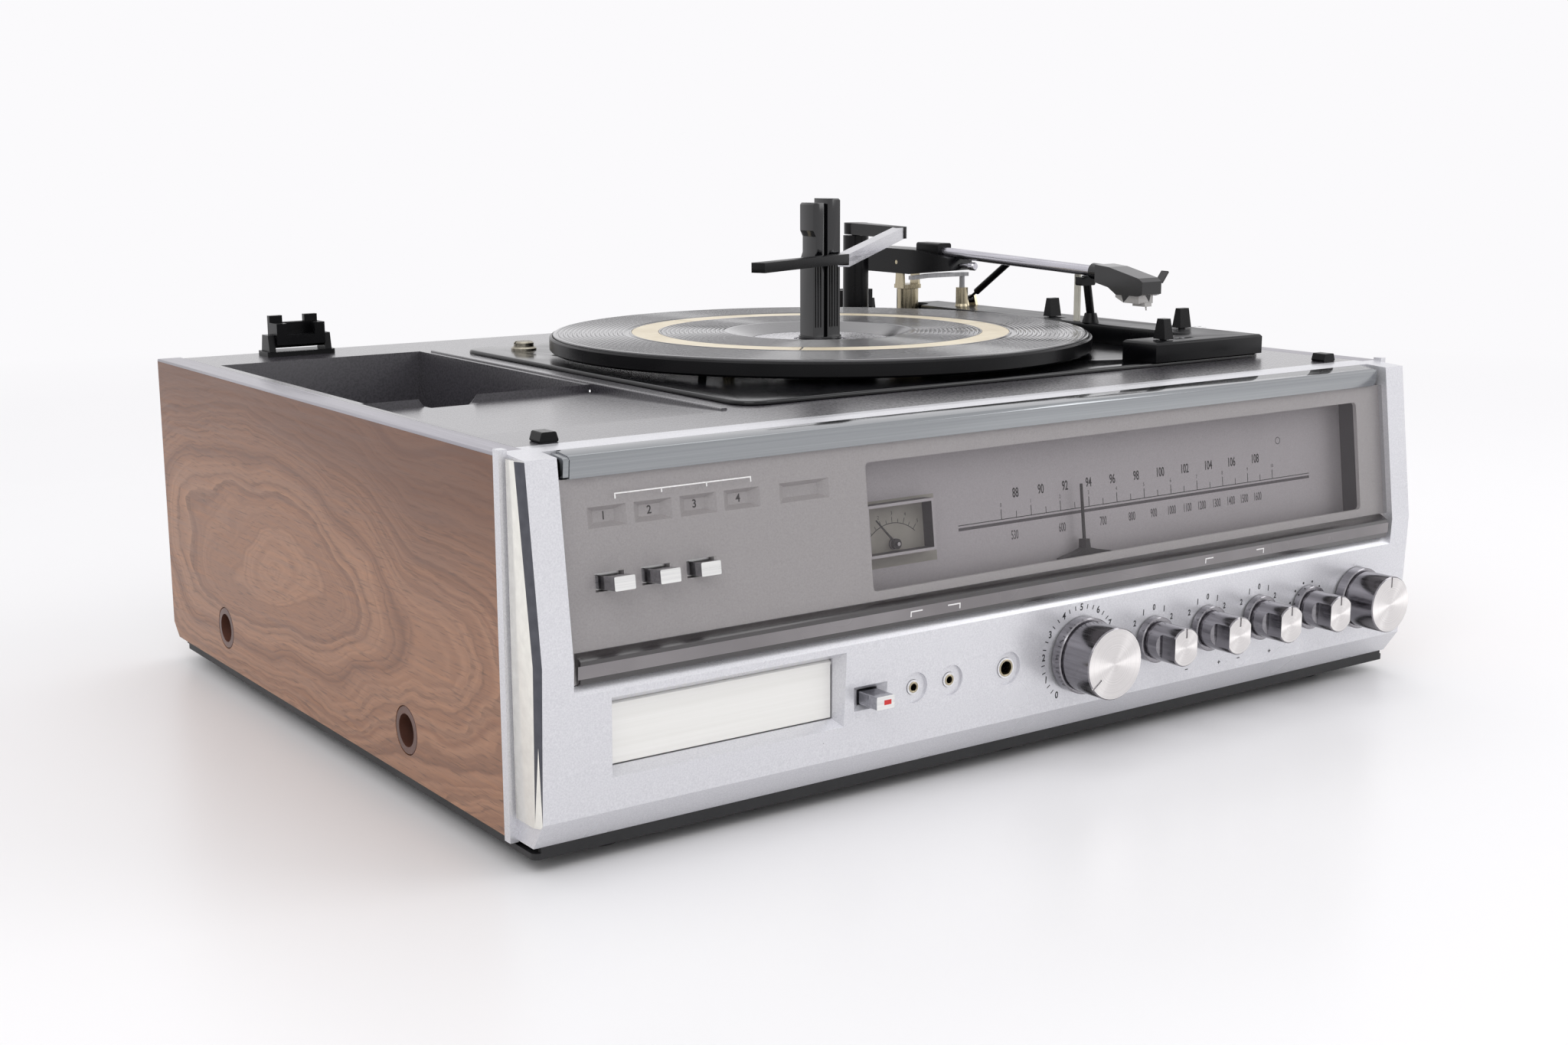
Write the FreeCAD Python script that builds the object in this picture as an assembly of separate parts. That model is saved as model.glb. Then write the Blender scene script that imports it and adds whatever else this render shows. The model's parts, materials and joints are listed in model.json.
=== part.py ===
"""Compact stereo music centre: 8 track recorder, AM/FM receiver and record changer.

Construction frame (mm): X across the front, Y from the front edge of the side boards to
the back, Z up from the underside of the side boards.  Every node is moved on export so that
the origin lies under the middle of the whole object, on the surface it stands on.
"""
import FreeCAD
import Part
import math
import os

V = FreeCAD.Vector

# ------------------------------------------------------------------ cabinet
WIDTH = 495.0            # over the outer faces of the side boards
BOARD_T = 12.0
BOARD_LENGTH = 373.0
BOARD_H = 144.0
BOARD_CHAMFER = 7.0      # lower rear corner of a board
STRIP_T = 1.2            # metal strip along a board's top edge
STRIP_TONGUE_T = 2.0
STRIP_TONGUE_H = 4.0
BASE_INSET = 3.6         # base edge inside the boards' outer faces
BASE_DROP = 6.1          # underside of the base below the boards
BASE_T = 2.5
BASE_WALL_H = 60.0
BASE_FRONT_Y = -16.1
BACK_Y = 365.0           # inner face of the back panel
BACK_T = 3.0
FOOT_H = 5.9
FOOT_R = 10.0
FOOT_SIDE = 42.5         # foot's centre inside the board's outer face
FOOT_FRONT_Y = 5.0
FOOT_REAR_Y = 350.0
CUP_Y = (84.8, 293.3)    # side screws, along a board
CUP_Z = 19.7
CUP_RIM_R = 10.3
CUP_R = 8.6
CUP_HOLE_R = 7.0
CUP_RIM_T = 1.5
CUP_FLOOR_T = 2.0
SCREW_R = 2.0
SCREW_HEAD_R = 4.0
SCREW_HEAD_H = 2.4
FIT = 0.1                # push fit between a moulded piece and its hole
RUN = 0.05               # radial clearance of a turning or sliding shaft
GAP = 0.4                # air between pieces that pass each other

# ------------------------------------------------------------- front frame
FRAME_INSET = 3.5        # frame cheek inside the board's outer face
TOP_OUT = 17.6           # top edge of the fascia, in front of the boards
TOP_DROP = 0.1           # top edge of the fascia below the boards' top
KNEE_OUT = 26.6
KNEE_Z = 69.6
TOE_OUT = 23.9
TOE_Z = 9.8
BEVEL_OUT = 16.1
BEVEL_Z = -1.3
FRAME_T = 2.5
BAND_FRONT_Y = -6.0      # flat band between chrome bar and deck
BAND_RISE = 0.6          # front of that band above the boards' top
DECK_FRONT_Y = 5.2
FLANGE_T = 4.5           # lip that covers the board's front edge
FLANGE_RISE = 2.5        # lip's top above the boards' top
FLANGE_BOTTOM_Z = -1.9
CHEEK_TRIM_T = 1.6
COLUMN_W = 13.0
SHELF_Z = 60.0           # floor of the fascia recess
SHELF_LIP_Z = 57.0
LEDGE_W = 6.0            # rim inside each column that carries the fascia plate

# --------------------------------------- fascia, measured up from the knee
WINDOW_INSET = 3.0
WINDOW_T = 2.0
FASCIA_T = 2.0
WINDOW_BOTTOM = 3.0
WINDOW_TOP_GAP = 8.44    # window's upper edge below the fascia's top edge
FASCIA_BOTTOM = -8.8
BAR_TOP_GAP = 1.44
BAR_INSET = 1.5
BAR_LOWER_INSET = 3.0
BAR_DEPTH = 8.0
BAR_END_GAP = 6.0        # bar's end inside the column
BAR_CAP = 2.3
BAR_STEP = 0.7
BUTTON_V = 27.3
BUTTON_X = (-210.5, -190.6, -170.7)
BUTTON_PROUD = (9.0, 8.5, 5.4)
BUTTON_W = 8.8
BUTTON_H = 5.3
BUTTON_SLOT_W = 12.6
BUTTON_SLOT_H = 7.0
BUTTON_GUIDE_DEPTH = 8.0
BUTTON_TRAVEL = 4.0
LAMP_X = (-209.5, -189.7, -169.6, -149.6)
LAMP_V = 51.3
LAMP_W = 16.6
LAMP_H = 7.8
LAMP_INNER_W = 9.2
LAMP_INNER_H = 4.4
LAMP_DEPTH = 3.0
RECORD_LAMP_X = -120.0
RECORD_LAMP_W = 24.0
DIAL_X = (-89.4, 213.6)
DIAL_V = (6.7, 59.2)
DIAL_BACK_INSET = 16.5
DIAL_WALL = 1.5
RAIL_V = 4.2
RAIL_INSET = 12.5
RAIL_R = 1.2
POINTER_X = 35.0
POINTER_TIP_V = 37.7
METER_X = (-86.4, -51.2)
METER_V = (19.2, 40.9)
METER_FRONT_INSET = 10.0
METER_DEPTH = 15.0
METER_FACE_DEPTH = 6.5
METER_WALL = 1.2
METER_PIVOT_UP = 4.2     # needle pivot above the meter's lower edge
NEEDLE_LENGTH = 14.5
NEEDLE_REST = 42.0       # degrees left of upright
LEGEND_END_GAP = 3.0
LEGEND_INSET = 0.5

# -------------------------------------------------------------- lower panel
CONTROL_Z = 33.5
SLOT_CENTRE_X = -160.9
SLOT_CENTRE_Z = 38.2
SLOT_W = 103.4
SLOT_H = 25.0
SLOT_INSET = 6.0
SLOT_FLARE_X = 2.3
SLOT_FLARE_Z = 3.1
SLOT_RIM = 4.6
SLOT_RIM_DEPTH = 4.2
DOOR_W = 101.8
DOOR_T = 1.6
DOOR_GAP = 0.5
DOOR_PIN_R = 1.0
DOOR_PIN_L = 2.6
RECORD_X = -94.0
PANEL_JOINT_X = -104.0    # butt joint between the tape slot and the record button
RECORD_PROUD = 10.0
RECORD_BEZEL_W = 16.5
RECORD_BEZEL_H = 9.9
RECORD_HOLE_W = 10.3
RECORD_HOLE_H = 6.6
RECORD_BAR_W = 9.0
RECORD_BAR_H = 5.5
RECORD_TRAVEL = 5.0
RECORD_STEM = 22.0
MIC_X = (-71.0, -51.8)
MIC_CUP_R = 6.65
MIC_RING_R = 3.2
MIC_BORE_R = 1.8
MIC_DEPTH = 15.0
PHONES_X = -20.3
PHONES_CUP_R = 7.35
PHONES_RING_R = 4.5
PHONES_BORE_R = 3.2
PHONES_DEPTH = 26.0
PHONES_ROOM = 8.0
BOARD_EDGE = 12.0
BOARD_RISE = 12.0
JACK_CUP_DEPTH = 1.2
VOLUME_X = 21.6
BALANCE_X = 66.8
BASS_X = 101.7
TREBLE_X = 136.5
SELECTOR_X = 171.3
TUNING_X = 206.2
BIG_KNOB_OUT = 22.4
SMALL_KNOB_OUT = 20.9
VOLUME_R = 15.9
VOLUME_SKIRT_R = 17.0
TUNING_R = 13.75
TUNING_SKIRT_R = 15.0
SMALL_R = 8.75
SMALL_SKIRT_R = 10.5
SMALL_FLAT = 7.0         # half width over a small knob's flats
SMALL_FLAT_L = 10.0
SHAFT_R = 3.0
BUSH_R = 4.5
NUT_R = 6.2
NUT_T = 2.0
BUSH_OUT = 3.0
POT_R = 8.0
POT_BACK_Y = -8.0
CONTROL_BOARD_T = 1.6

# --------------------------------------------------------------------- deck
DECK_T = 2.5
WELL_SIDE = 4.0          # well inside the left-hand board
WELL_RIGHT_X = -124.0
WELL_Y = (150.0, 325.0)
WELL_DEPTH = 50.0
WELL_DRAFT = 5.0
PANEL_Y = 40.0           # start of the sloping panel in front of the well
PANEL_DROP = 3.6
LIP_X = (-121.0, -118.0)
LIP_H = 0.9
PLATE_X = (-108.0, 215.0)
PLATE_Y = (44.0, 308.0)
PLATE_R = 12.0
PLATE_T = 1.7
PLATE_RISE = 2.0         # plate top above the deck
PLATE_EDGE = 10.0        # overlap of the plate on the deck
HINGE_X = 181.0
HINGE_Y = 352.0
HINGE_PIN_RISE = 6.8     # hinge pin above the deck
HINGE_W = 36.5
SOCKET_W = 26.0
BUMPER_X = 220.0
BUMPER_Y = 12.0

# ----------------------------------------------------------------- changer
SPINDLE_X = 36.0
SPINDLE_Y = 186.0
PLATTER_R = 139.0
PLATTER_RIM_T = 6.0
PLATTER_TOP = 8.4        # platter's upper face above the changer plate
PLATTER_DISH = 5.0       # platter's lowered centre above the changer plate
PLATTER_FLOAT = 2.3      # rim's lower edge above the changer plate
PLATTER_WEB = 2.4
HUB_BORE_R = 12.0
MAT_R = 137.0
MAT_T = 2.4
MAT_DISH_R = 48.5
DISC_R = 36.0
DISC_T = 1.4
RIB_RING_R = (83.3, 97.1)
ADAPTER_W = 17.0
ADAPTER_DEPTH = 11.5
ADAPTER_RISE = 77.8      # this and the rises below are above the changer plate
ADAPTER_SHOULDER_RISE = 58.8
ADAPTER_GROOVE = 2.4
STEM_R = 3.5
STEM_L = 30.0
IDLER_R = 18.0
IDLER_T = 3.4
PULLEY_R = 4.0
MOTOR_R = 30.0
MOTOR_H = 42.0
BLOCK_RISE = 9.6
BLOCK_WALL = 2.0
BLOCK_X = (134.0, 210.0)
BLOCK_Y = (43.0, 66.0)
BAR_X = 181.0            # left side of the block's long right arm
BAR_END_Y = 300.0
LEVER_H = 10.0
LEVER_STEM_T = 2.4
SPEED_LEVER = (150.0, 54.0)
SPEED_TRAVEL = 19.0
SIZE_LEVER = (201.0, 90.0)
SIZE_TRAVEL = 14.0
REJECT_LEVER = (192.0, 179.0)
REJECT_TRAVEL = 9.0
TRANSIT_X = -84.0
TRANSIT_Y = 284.0

# ---------------------------------------------------------------- overarm
POST_X = 144.0
POST_Y = 297.0
POST_RISE = 51.5
POST_PIN_R = 2.5
ELBOW = (132.0, 241.0)
SHOULDER = (42.0, 174.0)
TIP = (-33.0, 142.0)
OVERARM_RISE = 58.8
OVERARM_FALL = 8.7       # from the elbow to the shoulder
OVERARM_T = 6.6
OVERARM_W = 6.0
TIP_T = 4.8

# ---------------------------------------------------------------- tonearm
ARM_X = 181.0
ARM_Y = 294.0
ARM_BASE_RISE = 18.8
YOKE_PIVOT_RISE = 34.8
ARM_PIN_R = 1.2
ARM_SHAFT_R = 3.0
YOKE_W = 13.0
YOKE_ARM_T = 1.6
HOUSING_W = 18.0
HOUSING_WALL = 1.5
HOUSING_Y = (244.5, 336.0)
HOUSING_RISE = 42.8
TUBE_R = 2.9
TUBE_REAR_RISE = 43.2
TUBE_FRONT_Y = 128.0
TUBE_FRONT_RISE = 37.4
REST_X = 185.5
REST_Y = 142.0
CUE_X = 205.0
CUE_Y = 266.0
CUE_RISE = 13.0
CUE_TIP_Y = 231.9
CUE_TIP_RISE = 35.6
LIFT_X = 196.5
LIFT_Y = 262.0
LIFT_BAR_RISE = 29.6
LIFT_TRAVEL = 5.1

# ------------------------------------------------------- 8 track mechanism
TUNNEL_T = 1.2
TUNNEL_SIDE_GAP = 0.6
TUNNEL_HEAD_GAP = 0.6
TUNNEL_BACK_Y = 96.0
CHASSIS_T = 1.5
CHASSIS_X = (-222.0, -48.0)
CHASSIS_BACK_Y = 150.0
CAPSTAN_X = -124.0
CAPSTAN_Y = 84.0
CAPSTAN_R = 1.5
CAPSTAN_TOP_Z = 42.0
FLYWHEEL_R = 30.0
FLYWHEEL_H = 8.0
FLYWHEEL_Z = 8.0
TAPE_MOTOR_X = -72.0
TAPE_MOTOR_Y = 62.0
TAPE_MOTOR_R = 17.0
TAPE_MOTOR_H = 30.0
TAPE_PULLEY_R = 5.0
BELT_T = 1.2
BELT_W = 3.0
BELT_GAP = 0.3

# --------------------------------------------------- receiver and supply
BOARD_Z = 8.0            # printed board above the boards' underside
BOARD_X = (-38.0, 225.0)
BOARD_Y = (60.0, 340.0)
DRUM_R = 28.0
DRUM_T = 7.0
DRUM_X = 178.0
DRUM_Y = 4.0
DRUM_Z = 92.0
DRUM_SHAFT_R = 3.0
GANG_W = 36.0
GANG_L = 40.0
JACK_R = 4.0
JACK_OUT = 8.0
JACK_X = (60.0, 74.0, 104.0, 118.0)
JACK_Z = (26.0, 42.0)
TERMINAL_X = 185.0
TERMINAL_Z = 34.0
GLAND_X = -190.0
GLAND_Z = 24.0
GLAND_R = 7.0

# ------------------------------------------------------------ derived sizes
HALF = WIDTH / 2
INNER = HALF - BOARD_T
FRAME_HALF = HALF - FRAME_INSET
RECESS_HALF = FRAME_HALF - COLUMN_W
DECK_Z = BOARD_H + STRIP_T
DECK_UNDER = DECK_Z - DECK_T
BASE_FLOOR = BASE_T - BASE_DROP
PLATE_Z = DECK_Z + PLATE_RISE
TOP_Z = BOARD_H - TOP_DROP
BAND_FRONT_Z = BOARD_H + BAND_RISE
FLANGE_TOP_Z = BOARD_H + FLANGE_RISE
HINGE_PIN_Z = DECK_Z + HINGE_PIN_RISE
ADAPTER_TOP_Z = PLATE_Z + ADAPTER_RISE
ADAPTER_SHOULDER_Z = PLATE_Z + ADAPTER_SHOULDER_RISE
BLOCK_TOP_Z = PLATE_Z + BLOCK_RISE
POST_TOP_Z = PLATE_Z + POST_RISE
OVERARM_TOP_Z = PLATE_Z + OVERARM_RISE
OVERARM_LOW_Z = OVERARM_TOP_Z - OVERARM_FALL
ARM_BASE_TOP_Z = PLATE_Z + ARM_BASE_RISE
YOKE_PIVOT_Z = PLATE_Z + YOKE_PIVOT_RISE
HOUSING_TOP_Z = PLATE_Z + HOUSING_RISE
TUBE_REAR_Z = PLATE_Z + TUBE_REAR_RISE
TUBE_FRONT_Z = PLATE_Z + TUBE_FRONT_RISE
CUE_Z = PLATE_Z + CUE_RISE
CUE_TIP_Z = PLATE_Z + CUE_TIP_RISE
LIFT_BAR_Z = PLATE_Z + LIFT_BAR_RISE
FASCIA_INSET = WINDOW_INSET + WINDOW_T
FASCIA_BACK = FASCIA_INSET + FASCIA_T
UPPER_TILT = math.degrees(math.atan2(KNEE_OUT - TOP_OUT, TOP_Z - KNEE_Z))
FASCIA_LENGTH = math.hypot(KNEE_OUT - TOP_OUT, TOP_Z - KNEE_Z)
WINDOW_TOP = FASCIA_LENGTH - WINDOW_TOP_GAP
BAR_TOP = FASCIA_LENGTH - BAR_TOP_GAP
BAR_HALF = RECESS_HALF - BAR_END_GAP
LEGEND_HALF = RECESS_HALF - LEGEND_END_GAP
FOOT_X = HALF - FOOT_SIDE
WELL_X = (-INNER + WELL_SIDE, WELL_RIGHT_X)
FASCIA_FRAME = FreeCAD.Placement(V(0, -KNEE_OUT, KNEE_Z), FreeCAD.Rotation(V(1, 0, 0), 90 - UPPER_TILT))


def face_y(z):
    """Y of the frame's outer front surface at height z."""
    if z > KNEE_Z:
        return -KNEE_OUT + (KNEE_OUT - TOP_OUT) * (z - KNEE_Z) / (TOP_Z - KNEE_Z)
    return -TOE_OUT - (KNEE_OUT - TOE_OUT) * (z - TOE_Z) / (KNEE_Z - TOE_Z)


PANEL_FACE_Y = face_y(CONTROL_Z)
SLOT_Y = face_y(SLOT_CENTRE_Z) + SLOT_INSET
RIM_BACK_Y = SLOT_Y + SLOT_RIM_DEPTH
SLOT_X0 = SLOT_CENTRE_X - SLOT_W / 2
SLOT_X1 = SLOT_CENTRE_X + SLOT_W / 2
SLOT_Z0 = SLOT_CENTRE_Z - SLOT_H / 2
SLOT_Z1 = SLOT_CENTRE_Z + SLOT_H / 2
DOOR_PIN_Y = SLOT_Y + DOOR_T
DOOR_PIN_Z = SLOT_Z1 - 1.9
REAR_END_Y = BACK_Y + BACK_T + JACK_OUT
ORIGIN_SHIFT = V(0, (BIG_KNOB_OUT - PANEL_FACE_Y - REAR_END_Y) / 2, BASE_DROP + FOOT_H)


# ------------------------------------------------------------------ helpers
def block(xs, ys, zs):
    """Straight block between the given limits."""
    corner = V(xs[0], ys[0], zs[0])
    return Part.makeBox(xs[1] - xs[0], ys[1] - ys[0], zs[1] - zs[0], corner)


def face_of(points):
    """Flat face inside a closed run of points."""
    return Part.Face(Part.makePolygon(list(points) + [points[0]]))


def along_x(outline, x0, x1):
    """Prism of a (y, z) outline from x0 to x1."""
    return face_of([V(x0, y, z) for y, z in outline]).extrude(V(x1 - x0, 0, 0))


def along_y(outline, y0, y1):
    """Prism of an (x, z) outline from y0 to y1."""
    return face_of([V(x, y0, z) for x, z in outline]).extrude(V(0, y1 - y0, 0))


def along_z(outline, z0, z1):
    """Prism of an (x, y) outline from z0 to z1."""
    return face_of([V(x, y, z0) for x, y in outline]).extrude(V(0, 0, z1 - z0))


def turned(profile):
    """Solid of revolution about Z of a closed (radius, height) profile."""
    return face_of([V(r, 0, h) for r, h in profile]).revolve(V(0, 0, 0), V(0, 0, 1), 360)


def moved(shape, x=0, y=0, z=0):
    """Copy of a shape moved by the given amounts."""
    copy = shape.copy()
    copy.translate(V(x, y, z))
    return copy


def facing(shape, x, y, z):
    """Copy of a piece built along +Z, turned to look out of the front, seated at (x, y, z)."""
    copy = shape.copy()
    copy.rotate(V(0, 0, 0), V(1, 0, 0), 90)
    copy.translate(V(x, y, z))
    return copy


def mirrored(shape):
    """The same piece on the other side of the middle."""
    return shape.mirror(V(0, 0, 0), V(1, 0, 0))


def on_fascia(shape):
    """Piece drawn flat (x, height, out) and laid on the sloping fascia."""
    copy = shape.copy()
    copy.Placement = FASCIA_FRAME.multiply(copy.Placement)
    return copy


def fascia_point(v, inset):
    """(y, z) of a point v up the fascia and inset behind it."""
    point = FASCIA_FRAME.multVec(V(0, v, -inset))
    return (point.y, point.z)


def rounded(shape, radius, direction):
    """Round the edges of a block that run along one axis ('x', 'y' or 'z')."""
    picked = []
    for edge in shape.Edges:
        run = edge.Vertexes[-1].Point - edge.Vertexes[0].Point
        if abs(abs(getattr(run, direction)) - run.Length) < 1e-6 and run.Length > 1e-6:
            picked.append(edge)
    return shape.makeFillet(radius, picked)


def joined(shapes):
    """One solid out of several that meet."""
    result = shapes[0].multiFuse(shapes[1:]) if len(shapes) > 1 else shapes[0]
    return result.removeSplitter()


def less(shape, cutters):
    """A shape with all the cutters taken away."""
    return shape.cut(Part.makeCompound(cutters)) if cutters else shape


def rod(start, end, radius):
    """Round bar between two points."""
    return Part.makeCylinder(radius, (end - start).Length, start, end - start)


def offset_run(points, distance):
    """Open run of points shifted sideways, to its left, by a distance."""
    result = []
    for index, (a, b) in enumerate(points):
        before = points[max(index - 1, 0)]
        after = points[min(index + 1, len(points) - 1)]
        first = (a - before[0], b - before[1]) if index else (after[0] - a, after[1] - b)
        last = (after[0] - a, after[1] - b) if index < len(points) - 1 else first
        first_angle = math.atan2(first[1], first[0])
        turn = math.atan2(last[1], last[0]) - first_angle
        turn = (turn + math.pi) % (2 * math.pi) - math.pi
        angle = first_angle + turn / 2 + math.pi / 2
        reach = distance / math.cos(turn / 2)
        result.append((a + reach * math.cos(angle), b + reach * math.sin(angle)))
    return result


def frustum(near, far, near_h, far_h):
    """Straight-sided hole or boss between two rectangles (x0, x1, y0, y1) at two heights."""
    wires = []
    for (x0, x1, y0, y1), h in ((near, near_h), (far, far_h)):
        corners = [V(x0, y0, h), V(x1, y0, h), V(x1, y1, h), V(x0, y1, h)]
        wires.append(Part.makePolygon(corners + [corners[0]]))
    return Part.makeLoft(wires, True, True)


def centred(x, y, w, h):
    """Rectangle limits about a centre."""
    return (x - w / 2, x + w / 2, y - h / 2, y + h / 2)


def slots(xs, ys, zs, pitch, count, axis):
    """Row of equal blocks stepped along an axis index (0, 1 or 2)."""
    step = [0, 0, 0]
    step[axis] = pitch
    return [moved(block(xs, ys, zs), *[s * n for s in step]) for n in range(count)]


# ------------------------------------------------------------------ cabinet
def side_boards():
    """Veneered boards, each with a groove for its top strip and stepped holes for the screw cups."""
    outline = [(0, 0), (0, BOARD_H), (BOARD_LENGTH, BOARD_H)]
    outline += [(BOARD_LENGTH, BOARD_CHAMFER), (BOARD_LENGTH - BOARD_CHAMFER, 0)]
    board = along_x(outline, -HALF, -INNER)
    middle = -INNER - BOARD_T / 2
    groove_half = STRIP_TONGUE_T / 2
    groove_floor = BOARD_H - STRIP_TONGUE_H - FIT
    cutters = [block((middle - groove_half, middle + groove_half), (0, BOARD_LENGTH), (groove_floor, BOARD_H))]
    for y in CUP_Y:
        cutters.append(Part.makeCylinder(CUP_R + FIT, BOARD_T, V(-HALF, y, CUP_Z), V(1, 0, 0)))
        cutters.append(Part.makeCylinder(CUP_RIM_R + FIT, CUP_RIM_T, V(-HALF, y, CUP_Z), V(1, 0, 0)))
    left = less(board, cutters)
    return [left, mirrored(left)]


def top_strips():
    """Metal strip pressed into the top edge of each board."""
    middle = -INNER - BOARD_T / 2
    tongue = STRIP_TONGUE_T / 2
    edge = STRIP_T / 3
    outline = [(-HALF, BOARD_H), (-HALF, DECK_Z - edge), (-HALF + edge, DECK_Z), (-INNER, DECK_Z)]
    outline += [(-INNER, BOARD_H), (middle + tongue, BOARD_H), (middle + tongue, BOARD_H - STRIP_TONGUE_H)]
    outline += [(middle - tongue, BOARD_H - STRIP_TONGUE_H), (middle - tongue, BOARD_H)]
    strip = along_y(outline, 0, BOARD_LENGTH)
    return [strip, mirrored(strip)]


def screw_cups():
    """Turned cups that line the side screw holes."""
    profile = [(CUP_HOLE_R, 0), (CUP_RIM_R - 0.5, 0), (CUP_RIM_R, -0.5), (CUP_RIM_R, -CUP_RIM_T)]
    profile += [(CUP_R, -CUP_RIM_T), (CUP_R, -BOARD_T), (SCREW_R + GAP, -BOARD_T)]
    profile += [(SCREW_R + GAP, CUP_FLOOR_T - BOARD_T), (CUP_HOLE_R, CUP_FLOOR_T - BOARD_T)]
    cup = turned(profile)
    cups = []
    for y in CUP_Y:
        left = cup.copy()
        left.rotate(V(0, 0, 0), V(0, 1, 0), -90)
        left.translate(V(-HALF, y, CUP_Z))
        cups += [left, mirrored(left)]
    return cups


def screw(length, head_r=SCREW_HEAD_R):
    """Pan-head screw pointing down, its head's underside at zero, with a cross recess."""
    profile = [(0, -length), (SCREW_R, -length), (SCREW_R, 0), (head_r, 0)]
    profile += [(head_r, SCREW_HEAD_H * 0.5), (head_r * 0.7, SCREW_HEAD_H), (0, SCREW_HEAD_H)]
    recess = SCREW_HEAD_H * 0.6
    bar = (-head_r * 0.6, head_r * 0.6)
    slit = (-0.4, 0.4)
    top = (SCREW_HEAD_H - recess, SCREW_HEAD_H + 1)
    return less(turned(profile), [block(bar, slit, top), block(slit, bar, top)])


def case_screws():
    """Side, foot and back screws."""
    shank = 12.0
    screws = []
    for y in CUP_Y:
        left = screw(shank)
        left.rotate(V(0, 0, 0), V(0, 1, 0), -90)
        left.translate(V(-INNER - CUP_FLOOR_T, y, CUP_Z))
        screws += [left, mirrored(left)]
    for x, y in foot_places():
        foot = screw(shank)
        foot.rotate(V(0, 0, 0), V(1, 0, 0), 180)
        screws.append(moved(foot, x, y, FOOT_RECESS_TOP))
    for x, z in back_screw_places():
        rear = screw(BACK_T + 4)
        rear.rotate(V(0, 0, 0), V(1, 0, 0), -90)
        screws.append(moved(rear, x, BACK_Y + BACK_T, z))
    return screws


def foot_places():
    """Centres of the feet: three at the front and two at the back."""
    return [(x, FOOT_FRONT_Y) for x in (-FOOT_X, 0, FOOT_X)] + [(-FOOT_X, FOOT_REAR_Y), (FOOT_X, FOOT_REAR_Y)]


def back_screw_places():
    """Screws round the back panel."""
    low = BASE_FLOOR + 18
    return [(-INNER + 8, low), (0, low), (INNER - 8, low)]


FOOT_RECESS = FOOT_H - 2.4
FOOT_RECESS_TOP = -BASE_DROP - FOOT_H + FOOT_RECESS


def feet():
    """Turned rubber feet with a recess for the screw head."""
    bottom = -BASE_DROP - FOOT_H
    profile = [(SCREW_R, -BASE_DROP), (FOOT_R, -BASE_DROP), (FOOT_R - 0.6, bottom + 0.8), (FOOT_R - 1.6, bottom)]
    profile += [(SCREW_HEAD_R + 1, bottom), (SCREW_HEAD_R + 1, FOOT_RECESS_TOP), (SCREW_R, FOOT_RECESS_TOP)]
    return [moved(turned(profile), x, y) for x, y in foot_places()]


def base_tray():
    """Moulded bottom with a rim, screw walls at the sides, bosses, ribs and cooling slots."""
    half = HALF - BASE_INSET
    under = -BASE_DROP
    plate = block((-half, half), (BASE_FRONT_Y, BACK_Y), (under, BASE_FLOOR))
    plate = rounded(plate, 3.0, "z")
    lip_front = block((-half + 3, half - 3), (BASE_FRONT_Y, BASE_FRONT_Y + BASE_T), (BASE_FLOOR, BEVEL_Z))
    parts = [plate, lip_front]
    shaft = 5.0
    for side in (-1, 1):
        lip = [(side * half, BASE_FLOOR), (side * half, 0), (side * INNER, 0), (side * INNER, BASE_FLOOR)]
        parts.append(along_y(lip, GAP, BACK_Y))
        wall = [(side * INNER, BASE_FLOOR), (side * INNER, BASE_WALL_H)]
        wall += [(side * (INNER - BASE_T), BASE_WALL_H), (side * (INNER - BASE_T), BASE_FLOOR)]
        parts.append(along_y(wall, DECK_FRONT_Y + 3, BACK_Y))
        for y in CUP_Y:
            boss = Part.makeCylinder(shaft, 11.0, V(side * INNER, y, CUP_Z), V(-side, 0, 0))
            parts.append(boss)
            gusset = [(side * INNER, BASE_FLOOR), (side * INNER, CUP_Z), (side * (INNER - 10), BASE_FLOOR)]
            parts.append(along_y(gusset, y - 1, y + 1))
    for x, y in foot_places():
        parts.append(Part.makeCylinder(shaft, 9.0, V(x, y, BASE_FLOOR)))
    for x, y in board_posts():
        parts.append(Part.makeCylinder(shaft - 1, BOARD_Z - BASE_FLOOR, V(x, y, BASE_FLOOR)))
    for x, _ in back_screw_places():
        column = block((x - 5, x + 5), (BACK_Y - 8, BACK_Y), (BASE_FLOOR, BASE_FLOOR + 24))
        parts.append(column)
    for y in (170.0, 240.0):
        parts.append(block((-INNER, INNER), (y - 1, y + 1), (BASE_FLOOR, BASE_FLOOR + 3)))
    body = joined(parts)
    cutters = []
    vent = (30.0, 4.0)
    for x in (-190.0, 60.0, 110.0, 160.0):
        cutters += slots((x, x + vent[0]), (270, 270 + vent[1]), (under - 1, BASE_FLOOR + 1), 9.0, 7, 1)
    for side in (-1, 1):
        for y in CUP_Y:
            cutters.append(Part.makeCylinder(SCREW_R, 12.0, V(side * INNER, y, CUP_Z), V(-side, 0, 0)))
    for x, y in foot_places():
        cutters.append(Part.makeCylinder(SCREW_R, 12.0, V(x, y, under)))
    for x, z in back_screw_places():
        cutters.append(Part.makeCylinder(SCREW_R, 6.0, V(x, BACK_Y, z), V(0, -1, 0)))
    return less(body, cutters)


def board_posts():
    """Posts under the main printed board."""
    return [(x, y) for x in (BOARD_X[0] + 10, BOARD_X[1] - 10) for y in (BOARD_Y[0] + 10, BOARD_Y[1] - 10)]


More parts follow.
